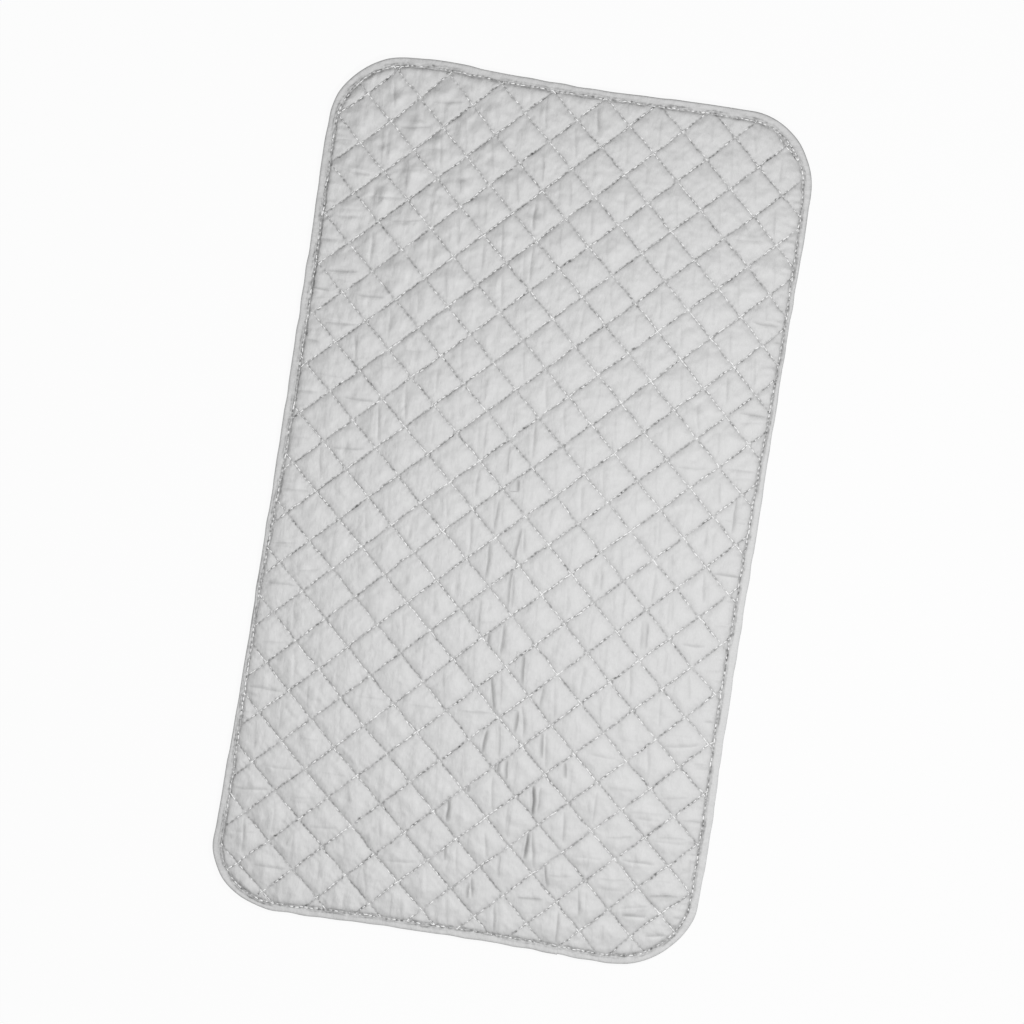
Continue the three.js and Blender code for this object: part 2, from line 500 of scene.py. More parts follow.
class NodeGarden:
    """A node tree, and the one method that puts nodes into it."""

    def __init__(self, tree: bpy.types.NodeTree) -> None:
        """Keeps the tree."""
        self.tree = tree

    def node(self, kind: str, settings: dict | None = None, inputs: dict | None = None) -> bpy.types.Node:
        """Adds a node.

        Args:
            kind: The node's type.
            settings: Properties, which are set first.
            inputs: Values or links, by socket name or number.

        Returns:
            The new node.
        """
        made = self.tree.nodes.new(kind)
        for name, setting in (settings or {}).items():
            setattr(made, name, setting)
        for key, given in (inputs or {}).items():
            source = given.socket if isinstance(given, Value) else given
            if isinstance(source, bpy.types.NodeSocket):
                self.tree.links.new(source, made.inputs[key])
            else:
                made.inputs[key].default_value = source
        return made

    def value(
        self,
        kind: str,
        output: str | int = 0,
        settings: dict | None = None,
        inputs: dict | None = None,
    ) -> Value:
        """Adds a node and returns one of its outputs as a number."""
        return Value(self, self.node(kind, settings, inputs).outputs[output])

    def math(self, operation: str, *operands: Value | float) -> Value:
        """Adds a Math node and returns its result."""
        return self.value("ShaderNodeMath", 0, {"operation": operation}, dict(enumerate(operands)))

    def split(self, vector: bpy.types.NodeSocket) -> list[Value]:
        """Returns a vector's x, y and z."""
        return [Value(self, part) for part in self.node("ShaderNodeSeparateXYZ", None, {0: vector}).outputs]


class Shader(NodeGarden):
    """A material that is being made."""

    def __init__(self, name: str) -> None:
        """Starts a material with an empty tree."""
        self.material = bpy.data.materials.new(name)
        self.material.use_nodes = True
        super().__init__(self.material.node_tree)
        self.tree.nodes.clear()

    def pattern_space(self, space: PatternSpace) -> bpy.types.NodeSocket:
        """Returns the coordinates that a weave follows, in metres."""
        if space is PatternSpace.TAPE:
            return self.kept(EdgeBinding.WEAVE)
        return self.node("ShaderNodeTexCoord").outputs["Object"]

    def kept(self, name: str) -> bpy.types.NodeSocket:
        """Returns a vector that the mesh keeps at each point."""
        return self.node("ShaderNodeAttribute", {"attribute_name": name}).outputs["Vector"]

    def noise(self, space: bpy.types.NodeSocket, size: float | Lengths, detail: float) -> Value:
        """Adds a noise texture.

        Args:
            space: Coordinates, in metres.
            size: Length of the noise's blotches in metres, one for all axes or one for each.
            detail: Octaves of finer noise.

        Returns:
            The noise, from 0 to 1.
        """
        lengths = size if isinstance(size, tuple) else (size, size, size)
        scale = tuple(1 / length for length in lengths)
        fitted = self.node("ShaderNodeMapping", None, {"Vector": space, "Scale": scale})
        inputs = {"Vector": fitted.outputs[0], "Scale": 1.0, "Detail": detail}
        return self.value("ShaderNodeTexNoise", "Fac", None, inputs)

    def grey(self, dark: float, light: float, share: Value) -> bpy.types.NodeSocket:
        """Mixes two greys by a share and returns the colour."""
        inputs = {"Factor": share, 6: (dark, dark, dark, 1), 7: (light, light, light, 1)}
        return self.node("ShaderNodeMix", {"data_type": "RGBA"}, inputs).outputs[2]

    def bump(
        self, height: Value, distance: float, strength: float, below: bpy.types.NodeSocket | None = None
    ) -> bpy.types.NodeSocket:
        """Adds a bump.

        Args:
            height: The relief, from 0 to 1.
            distance: The relief's full height, in metres.
            strength: Share of the relief that shows.
            below: A normal that the bump is laid on.

        Returns:
            The bumped normal.
        """
        inputs = {"Height": height, "Distance": distance, "Strength": strength}
        if below is not None:
            inputs["Normal"] = below
        return self.node("ShaderNodeBump", None, inputs).outputs[0]

    def finish(self, surface: dict) -> bpy.types.Material:
        """Ends the material in a Principled shader with given socket values, and returns it."""
        body = self.node("ShaderNodeBsdfPrincipled", None, surface)
        self.node("ShaderNodeOutputMaterial", None, {"Surface": body.outputs[0]})
        return self.material


def bell(place: Value, reach: float) -> Value:
    """Returns 1 at place 0, falling smoothly to nothing beyond the reach."""
    share = place / reach
    return (-(share * share)).math("EXPONENT")


def strongest(shares: list[Value]) -> Value:
    """Returns the greatest of several numbers."""
    most = shares[0]
    for share in shares[1:]:
        most = most.math("MAXIMUM", share)
    return most


@dataclass(frozen=True)
class Patches:
    """Uneven strength over a cloth: noise that is stretched, lowered and held above a least strength."""

    size: float | Lengths
    gain: float
    loss: float
    least: float = 0.0
    detail: float = 1.0

    def over(self, shader: Shader, space: bpy.types.NodeSocket) -> Value:
        """Returns the strength at a cloth's coordinates."""
        noise = shader.noise(space, self.size, self.detail)
        return (self.gain * noise - self.loss).math("MAXIMUM", self.least)


class Shade:
    """Painted shade that darkens a cloth's colour in places."""

    def amount(self, shader: Shader) -> Value:
        """Returns how much painted shade darkens a place, from 0 to 1."""
        raise NotImplementedError


@dataclass(frozen=True)
class QuiltShade(Shade):
    """Painted shade in the needle holes and slits along the quilting lines, which are finer than the mesh.

    Painted shade also darkens the valleys beside the lines, the pleats at their crossings and the cover's
    hem beside the tape, with a painted shadow line along the tape's inner edge.
    """

    lattice: StitchLattice
    # hole and slit: painted shade in the needle holes and in the slits between them.
    hole: float = 0.31
    slit: float = 0.155
    falling_share: float = 0.76
    reach: float = 0.85 * MM
    fickle: Patches = Patches(3.5 * MM, 4.2, 1.1, detail=2.0)
    fading: Patches = Patches(18.0 * MM, 2.4, 0.2, 0.3)
    sway: float = 2.8 * MM
    sway_size: float = 5.0 * MM
    skip: float = 6.0
    skip_size: float = 12.0 * MM
    crossing_loss: float = 0.5
    crossing_reach: float = 2.5 * MM
    # valley: painted shade in the soft valleys beside the lines.
    valley: float = 0.078
    valley_reach: float = 5.0 * MM
    shown_from: float = 1.0 * MM
    # hem, hem_line and left_line: painted shade on the cover beside the tape, and a painted shadow line
    # along the tape's inner edge, strongest on the left.
    hem: float = 0.1
    hem_reach: float = 4.5 * MM
    hem_line: float = 0.2
    hem_line_reach: float = 1.1 * MM
    left_line: float = 0.26
    left_middle: float = 205.0 * MM
    left_reach: float = 140.0 * MM
    # pleat: painted shade of the short pleats beside each crossing.
    pleat: float = 0.22
    pleat_aside: float = 2.6 * MM
    pleat_half_width: float = 0.8 * MM
    pleat_half_length: float = 3.6 * MM

    PLACE = "laid_out"

    def amount(self, shader: Shader) -> Value:
        """Works out the painted shade that the quilting lays on a place.

        Args:
            shader: The material that gets the nodes.

        Returns:
            The darkness, from 0 to 1.
        """
        laid = shader.kept(self.PLACE)
        x, y, edge = shader.split(laid)
        offsets = (self.lattice.rising_offset, self.lattice.falling_offset)
        across = [x * way[0] + y * way[1] for way in self.lattice.normals().tolist()]
        counts = [(far - offset) / self.lattice.pitch for far, offset in zip(across, offsets)]
        gaps = [(count - count.math("ROUND")) * self.lattice.pitch for count in counts]
        sway = self.sway * (shader.noise(laid, self.sway_size, 1.0) - 0.5)
        skip = self.skip * (shader.noise(laid, self.skip_size, 1.0) - 0.5)
        fickle = self.fickle.over(shader, laid)
        turns = 2 * math.pi * self.lattice.stitches_per_side
        # Painted shade in the needle holes and slits, and beside each crossing.
        lines = [self._pleats(gaps)]
        for gap, other, share in zip(gaps, reversed(counts), (1.0, self.falling_share)):
            stitch = 0.5 + 0.5 * (other * turns + skip).math("COSINE")
            depth = self.slit + (self.hole - self.slit) * stitch
            lines.append(share * depth * bell(gap + sway, self.reach))
        crossing = bell(gaps[0], self.crossing_reach) * bell(gaps[1], self.crossing_reach)
        calm = 1 - self.crossing_loss * crossing
        sewn = strongest(lines) * calm * fickle * self.fading.over(shader, laid)
        # Painted shade in the valleys beside the lines.
        low = strongest([self.valley * bell(gap, self.valley_reach) for gap in gaps])
        shown = (edge / self.shown_from).math("MAXIMUM", 0.0).math("MINIMUM", 1.0)
        # Painted shadow line along the tape's inner edge, strongest on the left, and painted shade on the
        # hem.
        left = (x / -PadOutline.half_width).math("MAXIMUM", 0.0)
        left = left * bell(y - self.left_middle, self.left_reach)
        line = self.hem_line * fickle + self.left_line * left
        hem = self.hem * bell(edge, self.hem_reach) + line * bell(edge + sway, self.hem_line_reach)
        return (sewn + low) * shown + hem

    def _pleats(self, gaps: list[Value]) -> Value:
        """Returns the painted shade of the two short pleats at the sides of each crossing."""
        to_x, to_y = np.linalg.inv(self.lattice.normals()).tolist()
        aside = gaps[0] * to_x[0] + gaps[1] * to_x[1]
        along = gaps[0] * to_y[0] + gaps[1] * to_y[1]
        beside = bell(abs(aside) - self.pleat_aside, self.pleat_half_width)
        return self.pleat * beside * bell(along, self.pleat_half_length)


@dataclass(frozen=True)
class PleatShade(Shade):
    """Painted shade along each pleat and long fold in the cover, with a soft painted shadow on one side."""

    fold: float = 0.34
    fold_reach: float = 1.8 * MM
    edge_reach: float = 1.0 * MM
    shadow: float = 0.2
    shadow_reach: float = 5.0 * MM
    long_fold: float = 0.44

    PLEATS = ("pleat_long", "pleat_short")
    FOLDS = ("fold_first", "fold_second")

    def amount(self, shader: Shader) -> Value:
        """Works out the painted shade that the pleats and folds lay on a place.

        Args:
            shader: The material that gets the nodes.

        Returns:
            The darkness, from 0 to 1.
        """
        shares = []
        for name in self.PLEATS:
            across, deep = self._place(shader, name)
            left = across.math("MINIMUM", 0.0)
            right = bell(across.math("MAXIMUM", 0.0), self.edge_reach)
            fold = self.fold * bell(left, self.fold_reach)
            shadow = self.shadow * (left / self.shadow_reach).math("EXPONENT")
            shares.append(deep * right * (fold + shadow))
        for name in self.FOLDS:
            across, deep = self._place(shader, name)
            shares.append(self.long_fold * deep * bell(across, 1.0))
        return strongest(shares)

    @staticmethod
    def _place(shader: Shader, name: str) -> tuple[Value, Value]:
        """Reads the distance across a pleat, and its depth's share with its ends tapered."""
        across, along, deep = shader.split(shader.kept(name))
        return across, deep * (1 - along * along * along * along).math("MAXIMUM", 0.0)


@dataclass(frozen=True)
class SeamShade(Shade):
    """Painted shade in the groove that the binding's stitches pull into the tape, and in a patchy line
    beside it.
    """

    start: float
    stitch: float
    # hole and slit: painted shade at the stitch holes and in the groove between them.
    hole: float = 0.5
    slit: float = 0.4
    reach: float = 1.4 * MM
    outwards: float = 0.2 * MM
    fickle: Patches = Patches(3.5 * MM, 3.4, 0.75, 0.15, 2.0)
    sway: float = 2.0 * MM
    sway_size: Lengths = (7.0 * MM, 90.0 * MM, 90.0 * MM)
    # outer_line: a patchy second line of painted shade beside the seam.
    outer_line: float = 0.4
    outer_place: float = 2.1 * MM
    outer_reach: float = 1.1 * MM
    outer_patches: Patches = Patches((40.0 * MM, 90.0 * MM, 90.0 * MM), 4.0, 1.5)

    def amount(self, shader: Shader) -> Value:
        """Works out the painted shade that the binding's seam lays on a place.

        Args:
            shader: The material that gets the nodes.

        Returns:
            The darkness, from 0 to 1.
        """
        tape = shader.pattern_space(PatternSpace.TAPE)
        walked, _, away = shader.split(tape)
        stitch = 0.5 + 0.5 * ((walked - self.start) * (2 * math.pi / self.stitch)).math("COSINE")
        depth = self.slit + (self.hole - self.slit) * stitch
        sway = self.sway * (shader.noise(tape, self.sway_size, 1.0) - 0.5)
        inner = depth * bell(away + self.outwards + sway, self.reach)
        patchy = self.outer_patches.over(shader, tape).math("MINIMUM", 1.0)
        outer = self.outer_line * patchy * bell(away + self.outer_place + sway, self.outer_reach)
        return self.fickle.over(shader, tape) * inner.math("MAXIMUM", outer)


@dataclass(frozen=True)
class RimShade(Shade):
    """Painted shade on the tape's outer fold, darkest along the pad's upper and right edges."""

    # Strength of the painted shade on the tape's outer fold.
    painted_rim_shade: float = 0.2
    reach: float = 1.3 * MM
    upper_share: float = 1 / PadOutline.half_length
    right_share: float = 0.45 / PadOutline.half_width
    patches: Patches = Patches((45.0 * MM, 90.0 * MM, 90.0 * MM), 3.0, 1.3)
    patch_share: float = 0.5
    fickle: Patches = Patches(9.0 * MM, 1.2, -0.4, detail=2.0)

    def amount(self, shader: Shader) -> Value:
        """Works out the painted shade that the tape's outer fold gets at a place.

        Args:
            shader: The material that gets the nodes.

        Returns:
            The darkness, from 0 to 1.
        """
        tape = shader.pattern_space(PatternSpace.TAPE)
        inset = shader.split(tape)[1]
        x, y, _ = shader.split(shader.pattern_space(PatternSpace.PIECE))
        side = (self.upper_share * y + self.right_share * x).math("MAXIMUM", 0.0)
        patchy = side + self.patch_share * self.patches.over(shader, tape)
        return self.painted_rim_shade * patchy * self.fickle.over(shader, tape) * bell(inset, self.reach)


@dataclass(frozen=True)
class WovenFinish:
    """Plain-woven cloth in undyed grey: its yarns, its small wrinkles, its slight mottling and the painted
    shade that its shades lay on it.
    """

    name: str
    grey: float
    shades: tuple[Shade, ...]
    space: PatternSpace = PatternSpace.PIECE
    yarn_pitch: float = 0.55 * MM
    yarn_relief: float = 0.12 * MM
    yarn_shown: float = 0.35
    yarn_bend: float = 0.4
    pucker_size: Lengths = (2.2 * MM, 5.0 * MM, 5.0 * MM)
    pucker_relief: float = 0.5 * MM
    hole_depth: float = 1.0 * MM
    slub_length: float = 9.0 * MM
    blotch_size: Lengths = (14.0 * MM, 20.0 * MM, 20.0 * MM)
    fleck_size: Lengths = (1.3 * MM, 3.2 * MM, 3.2 * MM)
    weave_weight: float = 0.15
    slub_weight: float = 0.15
    blotch_weight: float = 0.2
    fleck_weight: float = 0.35
    mottling: float = 0.09
    roughness: float = 0.78
    roughness_range: float = 0.12
    gloss: float = 0.25

    def material(self) -> bpy.types.Material:
        """Builds the cloth's material and returns it."""
        shader = Shader(self.name)
        space = shader.pattern_space(self.space)
        x, y, _ = shader.split(space)
        turn = math.pi / self.yarn_pitch
        warp = (x * turn).math("COSINE")
        weft = (y * turn).math("COSINE")
        bend = self.yarn_bend * (warp * weft)
        level = 1 - self.yarn_bend
        weave = (abs(warp) * (level + bend)).math("MAXIMUM", abs(weft) * (level - bend))
        slub_across = shader.noise(space, (self.slub_length, self.yarn_pitch, self.slub_length), 1.0)
        slub_along = shader.noise(space, (self.yarn_pitch, self.slub_length, self.slub_length), 1.0)
        blotch = shader.noise(space, self.blotch_size, 3.0)
        fleck = shader.noise(space, self.fleck_size, 2.0)
        tone = self.weave_weight * weave + self.slub_weight * (slub_across + slub_along)
        tone = tone + self.blotch_weight * blotch + self.fleck_weight * fleck
        puckers = shader.noise(space, self.pucker_size, 3.0)
        # The shades' painted shade darkens the base colour below; the same darkness also sinks the bump.
        dark = strongest([shade.amount(shader) for shade in self.shades])
        folded = shader.bump(puckers, self.pucker_relief, 1.0)
        sunk = shader.bump(1 - dark, self.hole_depth, 1.0, folded)
        woven = shader.bump(weave, self.yarn_relief, self.yarn_shown, sunk)
        plain = self.grey + self.mottling * (2 * tone - 1)
        return shader.finish(
            {
                "Base Color": shader.grey(0.0, 1.0, plain * (1 - dark)),
                "Roughness": self.roughness + self.roughness_range * (blotch - 0.5),
                "Specular IOR Level": self.gloss,
                "Normal": woven,
            }
        )


@dataclass(frozen=True)
class ThreadFinish:
    """Twisted sewing thread with a slight sheen, and painted shade in the grooves between its plies."""

    name: str = "sewing_thread"
    # The grooves' darker grey is painted shade between the plies.
    shaded_groove_grey: float = 0.88
    ply_grey: float = 0.99
    plies: float = 2.0
    twist_pitch: float = 1.6 * MM
    ply_relief: float = 0.12 * MM
    ply_shown: float = 0.6
    roughness: float = 0.5
    roughness_range: float = 0.15
    sheen: float = 0.1

    def material(self) -> bpy.types.Material:
        """Builds the thread's material and returns it."""
        shader = Shader(self.name)
        along = shader.value("ShaderNodeAttribute", "Fac", {"attribute_name": StitchTree.ALONG})
        around = shader.value("ShaderNodeAttribute", "Fac", {"attribute_name": StitchTree.AROUND})
        phase = 2 * math.pi * (around * self.plies + along / self.twist_pitch)
        ply = 0.5 + 0.5 * phase.math("SINE")
        return shader.finish(
            {
                # Painted shade: the thread's colour is darker in the grooves between the plies.
                "Base Color": shader.grey(self.shaded_groove_grey, self.ply_grey, ply),
                "Roughness": self.roughness + self.roughness_range * ply,
                "Sheen Weight": self.sheen,
                "Normal": shader.bump(ply, self.ply_relief, self.ply_shown),
            }
        )


@dataclass(frozen=True)
class FibreFinish:
    """Matted fibres, as in felt and wadding, with a strand's length counted in its widths."""

    name: str
    grey: float
    fibre: float
    contrast: float
    strand_length: float = 6.0
    relief: float = 0.3 * MM
    relief_shown: float = 0.5
    roughness: float = 0.85
    roughness_range: float = 0.1

    def material(self) -> bpy.types.Material:
        """Builds the fibres' material and returns it."""
        shader = Shader(self.name)
        space = shader.pattern_space(PatternSpace.PIECE)
        strand = self.strand_length * self.fibre
        strands = shader.noise(space, (strand, self.fibre, self.fibre), 4.0)
        cross = shader.noise(space, (self.fibre, strand, self.fibre), 4.0)
        fluff = 0.5 * strands + 0.5 * cross
        return shader.finish(
            {
                "Base Color": shader.grey(self.grey - self.contrast, self.grey + self.contrast, fluff),
                "Roughness": self.roughness + self.roughness_range * fluff,
                "Normal": shader.bump(fluff, self.relief, self.relief_shown),
            }
        )


@dataclass(frozen=True)
class FilmFinish:
    """Heat-reflecting metallised film with fine crinkles."""

    name: str = "metallised_film"
    grey: float = 0.78
    contrast: float = 0.05
    crinkle_size: float = 5.0 * MM
    relief: float = 0.3 * MM
    relief_shown: float = 0.4
    roughness: float = 0.28
    roughness_range: float = 0.15

    def material(self) -> bpy.types.Material:
        """Builds the film's material and returns it."""
        shader = Shader(self.name)
        space = shader.pattern_space(PatternSpace.PIECE)
        crinkles = shader.noise(space, self.crinkle_size, 5.0)
        return shader.finish(
            {
                "Base Color": shader.grey(self.grey - self.contrast, self.grey + self.contrast, crinkles),
                "Metallic": 1.0,
                "Roughness": self.roughness + self.roughness_range * crinkles,
                "Normal": shader.bump(crinkles, self.relief, self.relief_shown),
            }
        )


@dataclass
class MeshDraft:
    """Points and faces of a piece that is being built."""

    points: Array
    faces: list[tuple[int, ...]]
    attributes: dict[str, Array] = field(default_factory=dict)

    def to_object(self, name: str, material: bpy.types.Material) -> bpy.types.Object:
        """Turns the draft into an object in the scene.

        Args:
            name: The piece's name.
            material: Its finish.

        Returns:
            The object, at the origin.
        """
        mesh = bpy.data.meshes.new(name)
        mesh.from_pydata(self.points.tolist(), [], self.faces)
        for label, vectors in self.attributes.items():
            layer = mesh.attributes.new(label, "FLOAT_VECTOR", "POINT")
            layer.data.foreach_set("vector", vectors.astype(np.float32).ravel())
        mesh.update()
        mesh.shade_smooth()
        mesh.materials.append(material)
        return link(bpy.data.objects.new(name, mesh))


def link(piece: bpy.types.Object) -> bpy.types.Object:
    """Puts an object into the scene and returns it."""
    bpy.context.scene.collection.objects.link(piece)
    return piece


class QuiltGrid:
    """A sheet of small quads in line with the stitches, cut to the pad's outline.

    Its lines are counted to each side of the middle, as far as SPAN times the pad's length.
    """

    SPAN = 0.75
    ROUNDING = 1e-6

    def __init__(self, plan: PadPlan, segments: int, tuck: float = 0.0) -> None:
        """Cuts the sheet.

        Args:
            plan: The pad's shared shape.
            segments: Quads along one side of a diamond.
            tuck: Distance from each line of one more row on both sides of it, or 0 for none.
        """
        self.plan = plan
        self.segments = segments
        self.reach = int(plan.outline.half_length * 2 / plan.lattice.pitch * self.SPAN)
        parts = np.arange(segments) / segments
        if tuck > 0:
            parts = np.sort(np.append(parts, [tuck / plan.lattice.pitch, 1 - tuck / plan.lattice.pitch]))
        steps = (np.arange(-self.reach, self.reach)[:, None] + parts).ravel()
        rising, falling = np.meshgrid(steps, steps, indexing="ij")
        places = plan.lattice.place(rising, falling)
        inside = plan.outline.inset(places) >= plan.cut_edge
        whole = inside[:-1, :-1] & inside[1:, :-1] & inside[1:, 1:] & inside[:-1, 1:]
        beside = np.pad(whole, 1)
        used = beside[1:, 1:] | beside[:-1, 1:] | beside[1:, :-1] | beside[:-1, :-1]
        number = np.full(inside.shape, -1)
        number[used] = np.arange(used.sum())
        row, column = np.nonzero(whole)
        corners = [(row, column), (row + 1, column), (row + 1, column + 1), (row, column + 1)]
        quads = np.stack([number[corner] for corner in corners], axis=1)
        self.used = used
        self.rising = rising[used]
        self.falling = falling[used]
        self.quads = self._facing_up(places[used], quads)
        self.rim = self._walk_rim()
        self.places = self._snapped(places[used])

    @staticmethod
    def _facing_up(places: Array, quads: Array) -> Array:
        """Returns the quads turned so that they face upwards."""
        a, b, c = (places[quads[0, corner]] for corner in range(3))
        up = (b - a)[0] * (c - a)[1] - (b - a)[1] * (c - a)[0]
        return quads if up > 0 else quads[:, ::-1]

    def _walk_rim(self) -> Array:
        """Returns the numbers of the border's points, in order round the sheet."""
        starts = self.quads.ravel()
        ends = np.roll(self.quads, -1, axis=1).ravel()
        total = len(self.rising)
        alone = ~np.isin(starts * total + ends, ends * total + starts)
        following = dict(zip(starts[alone].tolist(), ends[alone].tolist()))
        rim = [next(iter(following))]
        while following[rim[-1]] != rim[0]:
            rim.append(following[rim[-1]])
        return np.array(rim)

    def _snapped(self, places: Array) -> Array:
        """Returns the points with the border's moved on to the cut edge."""
        outline = self.plan.outline
        border = places[self.rim]
        short = outline.inset(border) - self.plan.cut_edge
        places = places.copy()
        places[self.rim] = border + short[:, None] * outline.outwards(border)
        return places

    def sheet(self, upper: Array, lower: Array) -> MeshDraft:
        """Makes a closed sheet between two heights at each point.

        Args:
            upper: Heights of the upper face.
            lower: Heights of the lower face.

        Returns:
            The sheet's mesh.
        """
        total = len(self.places)
        points = np.concatenate([self._lifted(upper), self._lifted(lower)])
        below = self.quads[:, ::-1] + total
        following = np.roll(self.rim, -1)
        wall = np.stack([self.rim, self.rim + total, following + total, following], axis=1)
        return MeshDraft(points, np.concatenate([self.quads, below, wall]).tolist())

    def slab(self, upper: Array, floor: float) -> MeshDraft:
        """Makes a closed pad with a formed upper face and a plain flat underside.

        Args:
            upper: Heights of the upper face.
            floor: Height of the underside.

        Returns:
            The pad's mesh.
        """
        total = len(self.places)
        count = len(self.rim)
        ring = np.column_stack([self.places[self.rim], np.full(count, floor)])
        points = np.concatenate([self._lifted(upper), ring, [[0, 0, floor]]])
        low = np.arange(total, total + count)
        next_low = np.roll(low, -1)
        wall = np.stack([self.rim, low, next_low, np.roll(self.rim, -1)], axis=1)
        fan = np.stack([next_low, low, np.full(count, total + count)], axis=1)
        return MeshDraft(points, np.concatenate([self.quads, wall]).tolist() + fan.tolist())

    def read(self, numbers: Array, rising: Array, falling: Array) -> Array:
        """Reads a number per point at other places, for an even grid.

        Args:
            numbers: One number for each of this grid's points.
            rising: The places' counts across the rising lines.
            falling: The places' counts across the falling lines.

        Returns:
            The numbers between the nearest four points.
        """
        table = np.zeros(self.used.shape)
        table[self.used] = numbers
        row = (rising + self.reach) * self.segments
        column = (falling + self.reach) * self.segments
        low_row = np.floor(row + self.ROUNDING).astype(int)
        low_column = np.floor(column + self.ROUNDING).astype(int)
        down = row - low_row
        side = column - low_column
        near = table[low_row, low_column] * (1 - side) + table[low_row, low_column + 1] * side
        far = table[low_row + 1, low_column] * (1 - side) + table[low_row + 1, low_column + 1] * side
        return near * (1 - down) + far * down

    def _lifted(self, heights: Array) -> Array:
        """Returns the points at given heights."""
        return np.column_stack([self.places, heights])


@dataclass(frozen=True)
class SpareCloth:
    """A place with cloth to spare: its middle and its spread, in millimetres, and its share."""

    x: float
    y: float
    spread_x: float
    spread_y: float
    share: float

    def at(self, points: Array) -> Array:
        """Returns the share at points."""
        x = (points[:, 0] / MM - self.x) / self.spread_x
        y = (points[:, 1] / MM - self.y) / self.spread_y
        return self.share * np.exp(-(x**2) - y**2)


@dataclass(frozen=True)
class LongFold:
    """One fold seen in the cover: its upper and lower end in millimetres and its depth's share."""

    upper: tuple[float, float]
    lower: tuple[float, float]
    share: float
    soft_right: bool = True
    widest: float = 9.0 * MM
    sway: float = 0.5 * MM
    sway_noise: SmoothNoise = SmoothNoise(31, 9.0 * MM, 9.0 * MM)

    def place(self, points: Array, sharp_side: float, soft_side: float) -> Array:
        """Works out where points lie against the fold.

        Args:
            points: Places on the cover, laid out straight.
            sharp_side: How far the fold reaches on its sharp side.
            soft_side: How far it reaches on its soft side.

        Returns:
            The share of that reach, the share of the half length, and the depth's share.
        """
        upper, lower = np.array(self.upper) * MM, np.array(self.lower) * MM
        half = np.hypot(*(upper - lower)) / 2
        way = (upper - lower) / (2 * half)
        away = points[:, :2] - (upper + lower) / 2
        across = away[:, 0] * way[1] - away[:, 1] * way[0]
        across = across + self.sway * self.sway_noise.over(points)
        along = away @ way / half
        near = (np.abs(along) < 1) & (np.abs(across) < self.widest)
        reach = np.where((across > 0) == self.soft_right, soft_side, sharp_side)
        return np.column_stack([across / reach, along, self.share * near])


